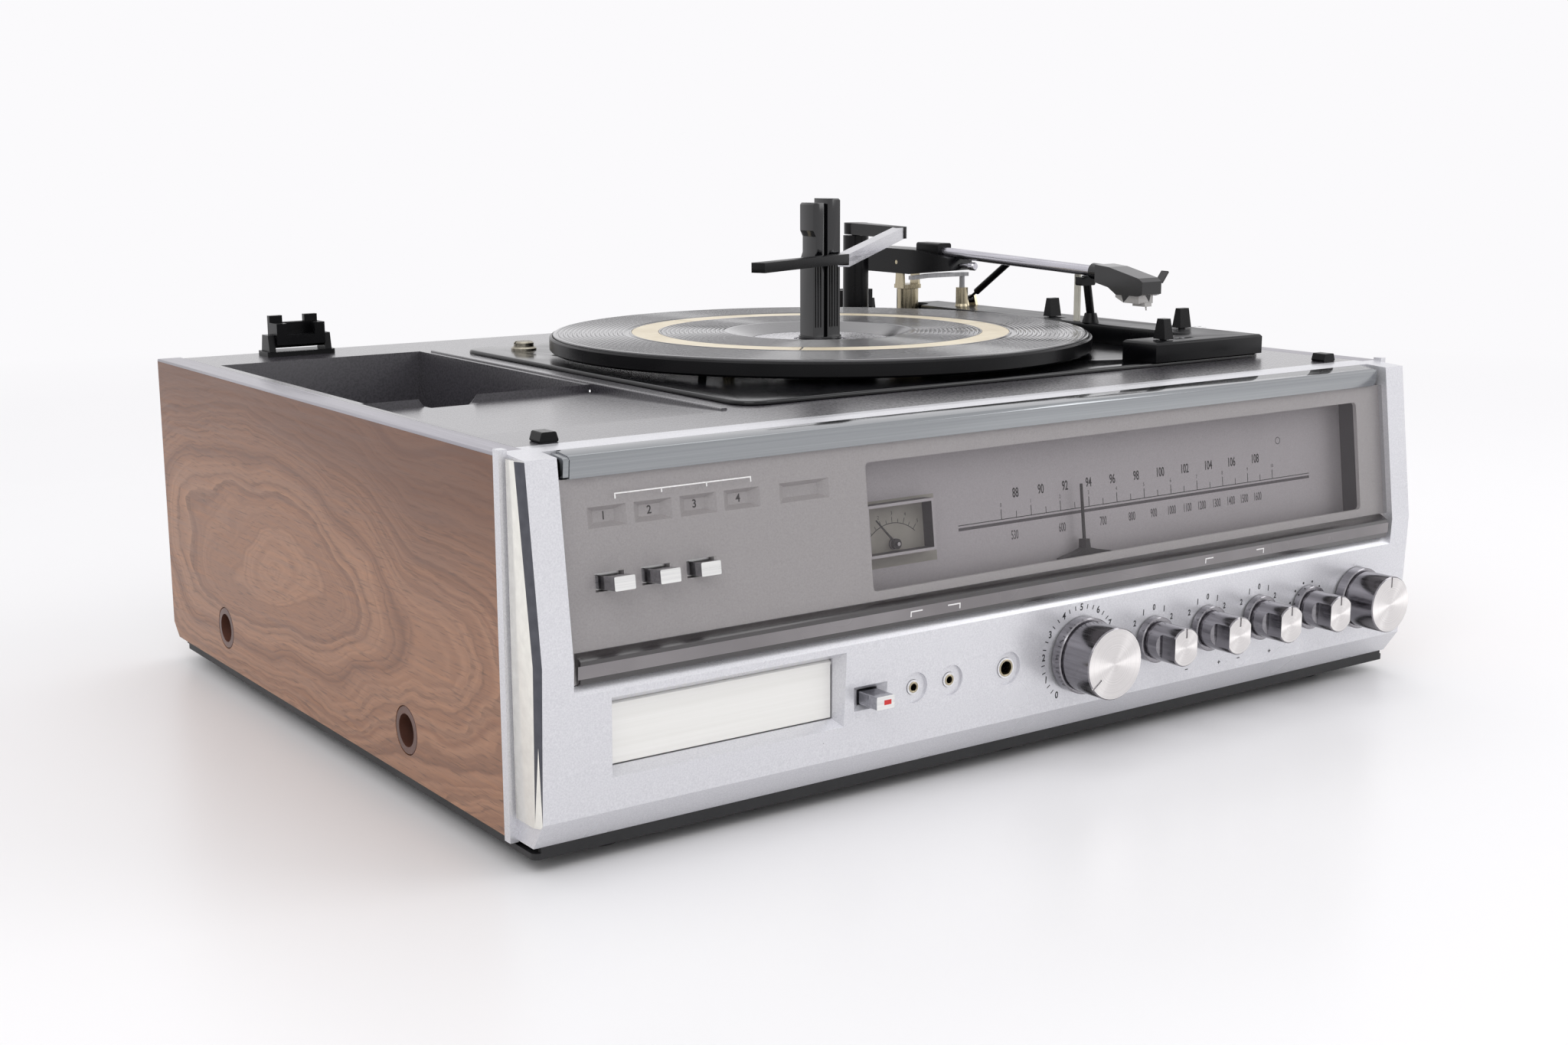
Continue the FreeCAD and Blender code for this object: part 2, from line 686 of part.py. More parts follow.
# -------------------------------------------------------------- front frame
def front_frame():
    """Silver front in three butted mouldings: window surround, tape panel and control panel."""
    band_rear = DECK_FRONT_Y
    skin = [(BAND_FRONT_Y, BEVEL_Z), (-BEVEL_OUT, BEVEL_Z), (-TOE_OUT, TOE_Z), (-KNEE_OUT, KNEE_Z)]
    skin += [(-TOP_OUT, TOP_Z), (BAND_FRONT_Y, BAND_FRONT_Z), (0, DECK_Z)]
    inside = offset_run(skin, -FRAME_T)
    shell = along_x(skin + inside[::-1], -FRAME_HALF, FRAME_HALF)
    band = block((-INNER, INNER), (0, band_rear), (DECK_UNDER, DECK_Z))
    recess = [(-KNEE_OUT - 9, SHELF_LIP_Z), (face_y(SHELF_LIP_Z), SHELF_LIP_Z)]
    recess += [(face_y(SHELF_Z) + WINDOW_INSET, SHELF_Z), (BAND_FRONT_Y, SHELF_Z), (BAND_FRONT_Y, TOP_Z + 9)]
    recess += [(-KNEE_OUT - 9, TOP_Z + 9)]
    opening = along_x(recess, -RECESS_HALF, RECESS_HALF)
    frame = shell.cut(opening)
    shelf = [(face_y(SHELF_LIP_Z), SHELF_LIP_Z), (face_y(SHELF_Z) + WINDOW_INSET, SHELF_Z)]
    shelf += [(BAND_FRONT_Y, SHELF_Z), (BAND_FRONT_Y, SHELF_Z - FRAME_T)]
    shelf += [(face_y(SHELF_Z) + WINDOW_INSET + 1, SHELF_Z - FRAME_T), (face_y(SHELF_LIP_Z) + FRAME_T, 53.0)]
    shelf += [(face_y(53.0), 53.0)]
    parts = [frame, band, along_x(shelf, -FRAME_HALF + 1, FRAME_HALF - 1)]
    cheek = skin[1:-1] + [(0, DECK_Z), (0, BEVEL_Z)]
    column = [(face_y(SHELF_LIP_Z), SHELF_LIP_Z), (-KNEE_OUT, KNEE_Z), (-TOP_OUT, TOP_Z)]
    column += [(BAND_FRONT_Y, BAND_FRONT_Z), (BAND_FRONT_Y, SHELF_LIP_Z)]
    ledge = [fascia_point(FASCIA_BOTTOM, FASCIA_BACK), fascia_point(WINDOW_TOP, FASCIA_BACK)]
    ledge += [fascia_point(WINDOW_TOP, FASCIA_BACK + FRAME_T), fascia_point(FASCIA_BOTTOM, FASCIA_BACK + FRAME_T)]
    for side in (-1, 1):
        outer = side * FRAME_HALF
        parts.append(along_x(cheek, outer, outer - side * FRAME_T))
        flange_x = sorted((outer, side * HALF))
        parts.append(block(flange_x, (-FLANGE_T, 0), (FLANGE_BOTTOM_Z, FLANGE_TOP_Z)))
        parts.append(along_x(column, side * RECESS_HALF, side * (RECESS_HALF + FRAME_T)))
        parts.append(along_x(ledge, side * RECESS_HALF, side * (RECESS_HALF - LEDGE_W)))
    rim_x = (SLOT_X0 - SLOT_RIM, SLOT_X1 + SLOT_RIM)
    rim_z = (SLOT_Z0 - SLOT_RIM, SLOT_Z1 + SLOT_RIM)
    parts.append(block(rim_x, (face_y(SLOT_Z0) + 1, RIM_BACK_Y), rim_z))
    half_w = RECORD_BEZEL_W / 2
    half_h = RECORD_BEZEL_H / 2
    boss_x = (RECORD_X - half_w - 1, RECORD_X + half_w + 1)
    boss_z = (CONTROL_Z - half_h - 1, CONTROL_Z + half_h + 1)
    parts.append(block(boss_x, (PANEL_FACE_Y + 1, PANEL_FACE_Y + 6), boss_z))
    frame = joined(parts).cut(Part.makeCompound(front_cutters())).removeSplitter()
    wide = HALF + 1
    depth = (-KNEE_OUT - 1, DECK_FRONT_Y + 1)
    above = block((-wide, wide), depth, (KNEE_Z, FLANGE_TOP_Z + 1))
    left = block((-wide, PANEL_JOINT_X), depth, (FLANGE_BOTTOM_Z - 1, KNEE_Z))
    right = block((PANEL_JOINT_X, wide), depth, (FLANGE_BOTTOM_Z - 1, KNEE_Z))
    return [frame.common(part) for part in (above, left, right)]


def front_cutters():
    """Tape slot, record button hole, jack cups and knob bush holes of the lower panel."""
    front = 3.0
    growth = (SLOT_INSET + front) / SLOT_INSET
    far = centred(SLOT_CENTRE_X, SLOT_CENTRE_Z, SLOT_W, SLOT_H)
    near_w = SLOT_W + 2 * SLOT_FLARE_X * growth
    near_h = SLOT_H + 2 * SLOT_FLARE_Z * growth
    near = centred(SLOT_CENTRE_X, SLOT_CENTRE_Z, near_w, near_h)
    mouth = frustum(near, far, SLOT_INSET + front, 0)
    mouth.rotate(V(0, 0, 0), V(1, 0, 0), 90)
    mouth.translate(V(0, SLOT_Y, 0))
    cutters = [mouth]
    cutters.append(block((SLOT_X0, SLOT_X1), (SLOT_Y - 0.01, RIM_BACK_Y + 1), (SLOT_Z0, SLOT_Z1)))
    for x, way in ((SLOT_X0, -1), (SLOT_X1, 1)):
        hole = Part.makeCylinder(DOOR_PIN_R + RUN, DOOR_PIN_L + FIT, V(x, DOOR_PIN_Y, DOOR_PIN_Z), V(way, 0, 0))
        cutters.append(hole)
    bevel_back = PANEL_FACE_Y + 2.5
    near = centred(RECORD_X, CONTROL_Z, RECORD_BEZEL_W * 1.4, RECORD_BEZEL_H * 1.4)
    far = centred(RECORD_X, CONTROL_Z, RECORD_HOLE_W, RECORD_HOLE_H)
    bevel = frustum(near, far, 5.0, 0)
    bevel.rotate(V(0, 0, CONTROL_Z), V(1, 0, 0), 90)
    corner = bevel.BoundBox
    bevel.translate(V(0, bevel_back - corner.YMax, CONTROL_Z - (corner.ZMin + corner.ZMax) / 2))
    cutters.append(bevel)
    hole_x = (RECORD_X - RECORD_HOLE_W / 2, RECORD_X + RECORD_HOLE_W / 2)
    hole_z = (CONTROL_Z - RECORD_HOLE_H / 2, CONTROL_Z + RECORD_HOLE_H / 2)
    cutters.append(block(hole_x, (bevel_back - 0.01, PANEL_FACE_Y + 9), hole_z))
    for x, cup_r, ring_r in jack_places():
        cup_y = PANEL_FACE_Y + JACK_CUP_DEPTH
        cutters.append(Part.makeCylinder(cup_r, 9.0, V(x, cup_y, CONTROL_Z), V(0, -1, 0)))
        cutters.append(Part.makeCylinder(ring_r + FIT, 9.0, V(x, cup_y - 0.01, CONTROL_Z), V(0, 1, 0)))
    for side in (-1, 1):
        clear_x = sorted((side * INNER, side * HALF))
        cutters.append(block(clear_x, (0, FLANGE_T), (BEVEL_Z, FLANGE_TOP_Z)))
    for x in KNOB_X:
        cutters.append(Part.makeCylinder(BUSH_R + FIT, 20.0, V(x, PANEL_FACE_Y - 9, CONTROL_Z), V(0, 1, 0)))
    return cutters


def jack_places():
    """Centre, cup radius and ring radius of the microphone and headphone jacks."""
    return [(x, MIC_CUP_R, MIC_RING_R) for x in MIC_X] + [(PHONES_X, PHONES_CUP_R, PHONES_RING_R)]


KNOB_X = (VOLUME_X, BALANCE_X, BASS_X, TREBLE_X, SELECTOR_X, TUNING_X)


def cheek_trims():
    """Polished plate on each cheek, bevelled towards the front edge."""
    low = BEVEL_Z + 9.5
    edge = [(-BEVEL_OUT - 6.5, low), (-TOE_OUT, TOE_Z), (-KNEE_OUT, KNEE_Z), (-TOP_OUT, TOP_Z - 0.5)]
    inner = [(BAND_FRONT_Y, low)] + edge + [(BAND_FRONT_Y, TOP_Z - 0.5)]
    top_bevel = TOP_OUT - 12.6
    knee_bevel = KNEE_OUT - 22.5
    toe_bevel = 3.0
    outer = [(BAND_FRONT_Y, low), (edge[0][0] + toe_bevel, low), (-TOE_OUT + toe_bevel, TOE_Z)]
    outer += [(-KNEE_OUT + knee_bevel, KNEE_Z), (-TOP_OUT + top_bevel, TOP_Z - 0.5), (BAND_FRONT_Y, TOP_Z - 0.5)]
    wires = []
    for outline, x in ((inner, -FRAME_HALF), (outer, -FRAME_HALF - CHEEK_TRIM_T)):
        corners = [V(x, y, z) for y, z in outline]
        wires.append(Part.makePolygon(corners + [corners[0]]))
    trim = Part.makeLoft(wires, True, True)
    return [trim, mirrored(trim)]


def chrome_bar():
    """Bright bar along the top of the fascia, with stepped ends."""
    outline = [fascia_point(WINDOW_TOP, BAR_LOWER_INSET), fascia_point(BAR_TOP, BAR_INSET)]
    outline += [(BAND_FRONT_Y - 9, BAND_FRONT_Z - 1), (BAND_FRONT_Y, BAND_FRONT_Z)]
    outline += [(BAND_FRONT_Y, BAND_FRONT_Z - 3), fascia_point(BAR_TOP - 3, BAR_DEPTH)]
    outline += [fascia_point(WINDOW_TOP, BAR_DEPTH)]
    face = along_x(outline, -BAR_HALF, BAR_HALF)
    step = offset_run(outline + [outline[0], outline[1]], -BAR_STEP)[1:-1]
    cap = along_x(step, -BAR_HALF - BAR_CAP, BAR_HALF + BAR_CAP)
    return joined([face, cap])


def dial_window():
    """Smoked sheet over the whole fascia, with slots for the buttons."""
    sheet = block((-RECESS_HALF + FIT, RECESS_HALF - FIT), (WINDOW_BOTTOM, WINDOW_TOP), (-FASCIA_INSET, -WINDOW_INSET))
    holes = [button_hole(x) for x in BUTTON_X]
    return on_fascia(less(sheet, holes))


def button_hole(x):
    """Slot for a fascia button, cut right through the sheets."""
    left, right, low, high = centred(x, BUTTON_V, BUTTON_SLOT_W, BUTTON_SLOT_H)
    return block((left, right), (low, high), (-FASCIA_BACK - BUTTON_GUIDE_DEPTH + 1.5, 9))


def fascia_plate():
    """Fascia behind the window: dial opening, lamp recesses and button guides."""
    plate = block((-RECESS_HALF + FIT, RECESS_HALF - FIT), (FASCIA_BOTTOM, WINDOW_TOP), (-FASCIA_BACK, -FASCIA_INSET))
    parts = [plate]
    cutters = [rounded(block(DIAL_X, DIAL_V, (-FASCIA_BACK - 1, 0)), 2.0, "z")]
    lamps = [(x, LAMP_W) for x in LAMP_X] + [(RECORD_LAMP_X, RECORD_LAMP_W)]
    for x, width in lamps:
        left, right, low, high = centred(x, LAMP_V, width, LAMP_H + 1)
        parts.append(block((left, right), (low, high), (-FASCIA_INSET - LAMP_DEPTH - 1, -FASCIA_BACK + 0.5)))
        inner_w = width - LAMP_W + LAMP_INNER_W
        near = centred(x, LAMP_V, width, LAMP_H)
        far = centred(x, LAMP_V, inner_w, LAMP_INNER_H)
        cutters.append(frustum(near, far, -FASCIA_INSET + 0.001, -FASCIA_INSET - LAMP_DEPTH))
    back = -FASCIA_BACK - BUTTON_GUIDE_DEPTH
    for x in BUTTON_X:
        left, right, low, high = centred(x, BUTTON_V, BUTTON_SLOT_W + 3, BUTTON_SLOT_H + 3)
        parts.append(block((left, right), (low, high), (back, -FASCIA_BACK + 0.5)))
        cutters.append(button_hole(x))
        left, right, low, high = centred(x, BUTTON_V, BUTTON_W + 2 * BELT_GAP, BUTTON_H + 2 * BELT_GAP)
        cutters.append(block((left, right), (low, high), (back - 1, back + 3)))
    return on_fascia(less(joined(parts), cutters))


def dial_box():
    """Open-fronted tray behind the dial opening, with the pointer's rail."""
    x0 = DIAL_X[0] - DIAL_WALL - 1
    x1 = DIAL_X[1] + DIAL_WALL + 1
    v0 = RAIL_V - 5.5
    v1 = DIAL_V[1] + DIAL_WALL + 1
    back = -DIAL_BACK_INSET - DIAL_WALL
    outer = block((x0, x1), (v0, v1), (back, -FASCIA_BACK))
    inner_x = (x0 + DIAL_WALL, x1 - DIAL_WALL)
    inner = block(inner_x, (v0 + DIAL_WALL, v1 - DIAL_WALL), (-DIAL_BACK_INSET, 0))
    meter_x = (METER_X[0] - FIT, METER_X[1] + FIT)
    meter_v = (METER_V[0] - FIT, METER_V[1] + FIT)
    hole = block(meter_x, meter_v, (back - 1, 0))
    tray = less(outer, [inner, hole])
    rail = rod(V(inner_x[0], RAIL_V, -RAIL_INSET), V(inner_x[1], RAIL_V, -RAIL_INSET), RAIL_R)
    return on_fascia(joined([tray, rail]))


def dial_pointer():
    """Needle on a sliding foot that rides the rail."""
    foot = [(-15, RAIL_V - 2.5), (15, RAIL_V - 2.5), (15, RAIL_V + 2), (5, RAIL_V + 4), (1.6, RAIL_V + 5)]
    foot += [(1.2, RAIL_V + 9), (-1.2, RAIL_V + 9), (-1.6, RAIL_V + 5), (-5, RAIL_V + 4), (-15, RAIL_V + 2)]
    carriage = along_z(foot, -RAIL_INSET - 2.2, -RAIL_INSET + 2.2)
    needle = [(-0.6, RAIL_V + 8.5), (0.6, RAIL_V + 8.5), (0.4, POINTER_TIP_V), (-0.4, POINTER_TIP_V)]
    blade = along_z(needle, -RAIL_INSET - 0.5, -RAIL_INSET + 0.5)
    bore = rod(V(-16, RAIL_V, -RAIL_INSET), V(16, RAIL_V, -RAIL_INSET), RAIL_R + RUN)
    return on_fascia(moved(joined([carriage, blade]).cut(bore), x=POINTER_X))


def meter_pivot():
    """Flat-frame place of the meter needle's pivot."""
    return V((METER_X[0] + METER_X[1]) / 2, METER_V[0] + METER_PIVOT_UP, 0)


def tuning_meter():
    """Meter case with its raised dial face and the pivot of the needle."""
    back = -METER_FRONT_INSET - METER_DEPTH
    case = block(METER_X, METER_V, (back, -METER_FRONT_INSET))
    wall = METER_WALL
    inner_x = (METER_X[0] + wall, METER_X[1] - wall)
    inner_v = (METER_V[0] + wall, METER_V[1] - wall)
    face = -METER_FRONT_INSET - METER_FACE_DEPTH
    cavity = block(inner_x, inner_v, (face, 0))
    pivot = meter_pivot()
    pin = Part.makeCylinder(0.8, 4.4, V(pivot.x, pivot.y, face - 0.5))
    boss = Part.makeCylinder(2.4, 1.0, V(pivot.x, pivot.y, face - 0.2))
    return on_fascia(joined([case.cut(cavity), boss, pin]))


def meter_needle():
    """Fine needle with its hub."""
    pivot = meter_pivot()
    low = -METER_FRONT_INSET - METER_FACE_DEPTH + 0.8 + GAP
    hub = Part.makeCylinder(2.2, 1.6, V(0, 0, low))
    blade = along_z([(-0.45, 0), (0.45, 0), (0.2, NEEDLE_LENGTH), (-0.2, NEEDLE_LENGTH)], low + 0.5, low + 1.0)
    tail = along_z([(-0.8, 0), (0.8, 0), (0.8, -2.4), (-0.8, -2.4)], low + 0.4, low + 1.2)
    needle = joined([hub, blade, tail]).cut(Part.makeCylinder(0.8 + RUN, 4.0, V(0, 0, low - 1)))
    needle.rotate(V(0, 0, 0), V(0, 0, 1), NEEDLE_REST)
    return on_fascia(moved(needle, pivot.x, pivot.y))


def legend_ledge():
    """Dark moulded ledge in front of the fascia's foot."""
    outline = [(face_y(SHELF_Z) + WINDOW_INSET, SHELF_Z)]
    outline += [(face_y(SHELF_Z + 1) + LEGEND_INSET, SHELF_Z + 1), (LEGEND_INSET - KNEE_OUT, KNEE_Z)]
    outline += [fascia_point(WINDOW_BOTTOM, FASCIA_INSET), fascia_point(FASCIA_BOTTOM + 0.3, FASCIA_INSET)]
    return along_x(outline, -LEGEND_HALF, LEGEND_HALF)


# --------------------------------------------------------------- tape unit
def tape_door():
    """Door of the cartridge slot, hung on two moulded pins near its top edge."""
    x0 = SLOT_CENTRE_X - DOOR_W / 2
    x1 = SLOT_CENTRE_X + DOOR_W / 2
    low = SLOT_Z0 + DOOR_GAP
    high = DOOR_PIN_Z + 0.9
    plate = block((x0, x1), (SLOT_Y, SLOT_Y + DOOR_T), (low, high))
    plate = rounded(plate, 0.3, "x")
    barrel_r = DOOR_PIN_R + 0.6
    barrel = rod(V(x0, DOOR_PIN_Y, DOOR_PIN_Z), V(x1, DOOR_PIN_Y, DOOR_PIN_Z), barrel_r)
    pin_x = SLOT_W / 2 + DOOR_PIN_L
    start = V(SLOT_CENTRE_X - pin_x, DOOR_PIN_Y, DOOR_PIN_Z)
    pin = rod(start, V(SLOT_CENTRE_X + pin_x, DOOR_PIN_Y, DOOR_PIN_Z), DOOR_PIN_R)
    ribs = []
    for x in (x0 + 2, x0 + DOOR_W / 3, x1 - DOOR_W / 3, x1 - 3):
        ribs.append(block((x, x + 1), (SLOT_Y + DOOR_T - 0.5, SLOT_Y + DOOR_T + 1), (low + 2, DOOR_PIN_Z)))
    return joined([plate, barrel, pin] + ribs)


def tunnel_limits():
    """Inner limits of the cartridge tunnel."""
    return (SLOT_X0 - TUNNEL_SIDE_GAP, SLOT_X1 + TUNNEL_SIDE_GAP, SLOT_Z0, SLOT_Z1 + TUNNEL_HEAD_GAP)


def tape_tunnel():
    """Folded sheet tunnel that guides the cartridge, open at the front."""
    x0, x1, z0, z1 = tunnel_limits()
    t = TUNNEL_T
    outer = block((x0 - t, x1 + t), (RIM_BACK_Y, TUNNEL_BACK_Y), (z0 - t, z1 + t))
    inner = block((x0, x1), (RIM_BACK_Y - 1, TUNNEL_BACK_Y - t), (z0, z1))
    window = block((x0 + 20, x0 + 60), (TUNNEL_BACK_Y - 5, TUNNEL_BACK_Y + 1), (z0 + 4, z1 - 6))
    capstan = Part.makeCylinder(CAPSTAN_R + 1.5, 9.0, V(CAPSTAN_X, CAPSTAN_Y, z0 - 5))
    spring_slots = slots((x0 + 25, x0 + 33), (30, 70), (z1 - 1, z1 + 5), 25.0, 3, 0)
    return less(outer, [inner, window, capstan] + spring_slots)


def tape_chassis():
    """Folded chassis under the tunnel, the playing head behind it and the capstan bearing."""
    top = SLOT_Z0 - TUNNEL_T
    under = top - CHASSIS_T
    x0, x1 = CHASSIS_X
    front = RIM_BACK_Y + 12
    outline = [(x0, BASE_FLOOR), (x0, top), (x1, top), (x1, BASE_FLOOR), (x1 - CHASSIS_T, BASE_FLOOR)]
    outline += [(x1 - CHASSIS_T, under), (x0 + CHASSIS_T, under), (x0 + CHASSIS_T, BASE_FLOOR)]
    plate = along_y(outline, front, CHASSIS_BACK_Y)
    bearing = Part.makeCylinder(CAPSTAN_R + 2.5, 6.0, V(CAPSTAN_X, CAPSTAN_Y, under - 5.5))
    bores = [Part.makeCylinder(CAPSTAN_R + RUN, 20.0, V(CAPSTAN_X, CAPSTAN_Y, under - 9))]
    bores.append(Part.makeCylinder(4.0, 9.0, V(TAPE_MOTOR_X, TAPE_MOTOR_Y, under - 5)))
    bores += slots((x0 - 1, x0 + 5), (20, 40), (2, 14), 45.0, 3, 1)
    bores += slots((x1 - 5, x1 + 1), (20, 40), (2, 14), 45.0, 3, 1)
    body = less(joined([plate, bearing]), bores)
    tx0, _, tz0, tz1 = tunnel_limits()
    head_y = TUNNEL_BACK_Y
    bracket = [(head_y, top), (head_y, tz1 - 2), (head_y + 2, tz1 - 2), (head_y + 2, top + 2)]
    bracket += [(head_y + 16, top + 2), (head_y + 16, top)]
    holder = along_x(bracket, tx0 + 26, tx0 + 54)
    head = rounded(block((tx0 + 32, tx0 + 48), (head_y - 8, head_y), (tz0 + 6, tz1 - 8)), 2.0, "z")
    return [body, joined([holder, head])]


def capstan_flywheel():
    """Flywheel with a rim and web on the capstan shaft."""
    r = FLYWHEEL_R
    h = FLYWHEEL_H
    profile = [(0, 0), (6, 0), (6, h * 0.3), (r - 7, h * 0.3), (r - 7, 0), (r, 0), (r, h)]
    profile += [(r - 7, h), (r - 7, h * 0.7), (6, h * 0.7), (6, h), (CAPSTAN_R, h)]
    profile += [(CAPSTAN_R, CAPSTAN_TOP_Z - FLYWHEEL_Z), (0, CAPSTAN_TOP_Z - FLYWHEEL_Z)]
    return moved(turned(profile), CAPSTAN_X, CAPSTAN_Y, FLYWHEEL_Z)


def tape_motor():
    """Can motor standing on the chassis."""
    top = SLOT_Z0 - TUNNEL_T
    r = TAPE_MOTOR_R
    h = TAPE_MOTOR_H
    profile = [(1.2, 0), (r, 0), (r, h - 1.5), (r - 1.5, h), (5, h), (5, h + 2), (0, h + 2), (0, 4), (1.2, 4)]
    return moved(turned(profile), TAPE_MOTOR_X, TAPE_MOTOR_Y, top)


def motor_pulley():
    """Flanged pulley and shaft of the tape motor."""
    r = TAPE_PULLEY_R
    top = SLOT_Z0 - TUNNEL_T + 3.5
    z = FLYWHEEL_Z + 1.0
    profile = [(0, z), (r + 1.5, z), (r + 1.5, z + 0.8), (r, z + 1.2), (r, z + 5.0), (r + 1.5, z + 5.4)]
    profile += [(r + 1.5, z + 6), (1.15, z + 6), (1.15, top), (0, top)]
    return moved(turned(profile), TAPE_MOTOR_X, TAPE_MOTOR_Y)


def belt_loop(extra):
    """Filled outline round the tape pulley and the flywheel, grown by extra."""
    big = FLYWHEEL_R + BELT_GAP + extra
    small = TAPE_PULLEY_R + BELT_GAP + extra
    start = V(CAPSTAN_X, CAPSTAN_Y, 0)
    end = V(TAPE_MOTOR_X, TAPE_MOTOR_Y, 0)
    line = end - start
    heading = math.atan2(line.y, line.x)
    lean = math.acos((big - small) / line.Length)
    spots = []
    for centre, radius in ((start, big), (end, small)):
        for way in (1, -1):
            angle = heading + way * lean
            spots.append(centre + V(radius * math.cos(angle), radius * math.sin(angle), 0))
    far_big = start - V(big * math.cos(heading), big * math.sin(heading), 0)
    far_small = end + V(small * math.cos(heading), small * math.sin(heading), 0)
    edges = [Part.Arc(spots[1], far_big, spots[0]).toShape(), Part.makeLine(spots[0], spots[2])]
    edges += [Part.Arc(spots[2], far_small, spots[3]).toShape(), Part.makeLine(spots[3], spots[1])]
    return Part.Face(Part.Wire(edges))


def drive_belt():
    """Flat rubber belt between the tape motor and the flywheel."""
    loop = belt_loop(BELT_T).cut(belt_loop(0))
    return moved(loop.extrude(V(0, 0, BELT_W)), z=FLYWHEEL_Z + 2.4)


# ------------------------------------------------------------ push buttons
def fascia_button(index):
    """Chromed bar button with a stop collar behind the fascia."""
    x = BUTTON_X[index]
    front = BUTTON_PROUD[index] - WINDOW_INSET
    back = -FASCIA_BACK - BUTTON_GUIDE_DEPTH - BUTTON_TRAVEL - 1
    left, right, low, high = centred(x, BUTTON_V, BUTTON_W, BUTTON_H)
    bar = block((left, right), (low, high), (back, front))
    bar = rounded(bar, 0.5, "z")
    left, right, low, high = centred(x, BUTTON_V, BUTTON_SLOT_W - 1, BUTTON_SLOT_H - 0.8)
    stop_front = -FASCIA_BACK - BUTTON_GUIDE_DEPTH + 1.5 + BUTTON_TRAVEL + GAP
    collar = block((left, right), (low, high), (stop_front, stop_front + 0.9))
    return on_fascia(joined([bar, collar]))


def record_button():
    """Record button: bar, stop collar and stem."""
    width = RECORD_BAR_W / 2
    height = RECORD_BAR_H / 2
    front = PANEL_FACE_Y - RECORD_PROUD
    bar = block((RECORD_X - width, RECORD_X + width), (front, front + RECORD_STEM), (CONTROL_Z - height, CONTROL_Z + height))
    return rounded(bar, 0.5, "y")


# -------------------------------------------------------------------- knobs
def knob_rear(radius):
    """How far a knob's back stands off the sloping panel."""
    return PANEL_FACE_Y - face_y(CONTROL_Z + radius) + GAP


def knob_shaft(out):
    """Shaft that carries a knob and runs in the bush behind it."""
    tail = PANEL_FACE_Y - POT_BACK_Y + 3
    return Part.makeCylinder(SHAFT_R, out - 4 - tail, V(0, 0, tail))


def big_knob(x, body_r, skirt_r, mark_angle):
    """Turned metal knob with a grooved skirt and an index line, and its shaft."""
    rear = knob_rear(skirt_r)
    out = BIG_KNOB_OUT
    cup = body_r - 2.6
    profile = [(SHAFT_R, BUSH_OUT + GAP), (SHAFT_R + 2.5, BUSH_OUT + GAP), (SHAFT_R + 2.5, out - 6), (cup, out - 6)]
    profile += [(cup, rear), (skirt_r, rear), (skirt_r, rear + 4.4), (skirt_r - 0.5, rear + 4.9)]
    profile += [(body_r - 0.7, rear + 5.0), (body_r - 0.7, rear + 5.7), (body_r, rear + 6.1), (body_r, out - 0.5)]
    profile += [(body_r - 0.5, out), (0, out), (0, out - 4), (SHAFT_R, out - 4)]
    line = block((-0.5, 0.5), (body_r * 0.62, body_r + 1), (out - 0.5, out + 1))
    line.rotate(V(0, 0, 0), V(0, 0, 1), -mark_angle)
    knob = less(turned(profile), [line])
    return [facing(piece, x, PANEL_FACE_Y, CONTROL_Z) for piece in (knob, knob_shaft(out))]


def small_knob(x):
    """Small metal knob with two flats, an index notch at the top, and its shaft."""
    rear = knob_rear(SMALL_SKIRT_R)
    out = SMALL_KNOB_OUT
    profile = [(SHAFT_R, BUSH_OUT + GAP), (SHAFT_R + 1.5, BUSH_OUT + GAP), (SHAFT_R + 1.5, 7.0), (NUT_R + 1.0, 7.0)]
    profile += [(NUT_R + 1.0, rear), (SMALL_SKIRT_R, rear), (SMALL_SKIRT_R, rear + 3.2), (SMALL_SKIRT_R - 0.4, rear + 3.6)]
    profile += [(SMALL_R - 0.6, rear + 3.7), (SMALL_R - 0.6, rear + 4.4), (SMALL_R, rear + 4.8), (SMALL_R, out - 0.5)]
    profile += [(SMALL_R - 0.5, out), (0, out), (0, out - 4), (SHAFT_R, out - 4)]
    knob = turned(profile)
    cutters = []
    curve = 2.5
    for side in (-1, 1):
        flat = side * SMALL_FLAT
        low = out - SMALL_FLAT_L
        middle = V(side * (SMALL_FLAT + curve * 0.3), 0, low + curve * 0.3)
        arc = Part.Arc(V(flat, 0, low + curve), middle, V(flat + side * curve, 0, low)).toShape()
        outer = flat + side * 9
        rest = Part.makePolygon([V(flat + side * curve, 0, low), V(outer, 0, low), V(outer, 0, out + 1), V(flat, 0, out + 1)])
        close = Part.makeLine(V(flat, 0, out + 1), V(flat, 0, low + curve))
        wire = Part.Wire([arc] + rest.Edges + [close])
        cutter = Part.Face(wire).extrude(V(0, 2 * SMALL_SKIRT_R, 0))
        cutters.append(moved(cutter, y=-SMALL_SKIRT_R))
    cutters.append(block((-0.5, 0.5), (SMALL_R * 0.5, SMALL_R + 1), (out - 0.6, out + 1)))
    knob = less(knob, cutters)
    return [facing(piece, x, PANEL_FACE_Y, CONTROL_Z) for piece in (knob, knob_shaft(out))]


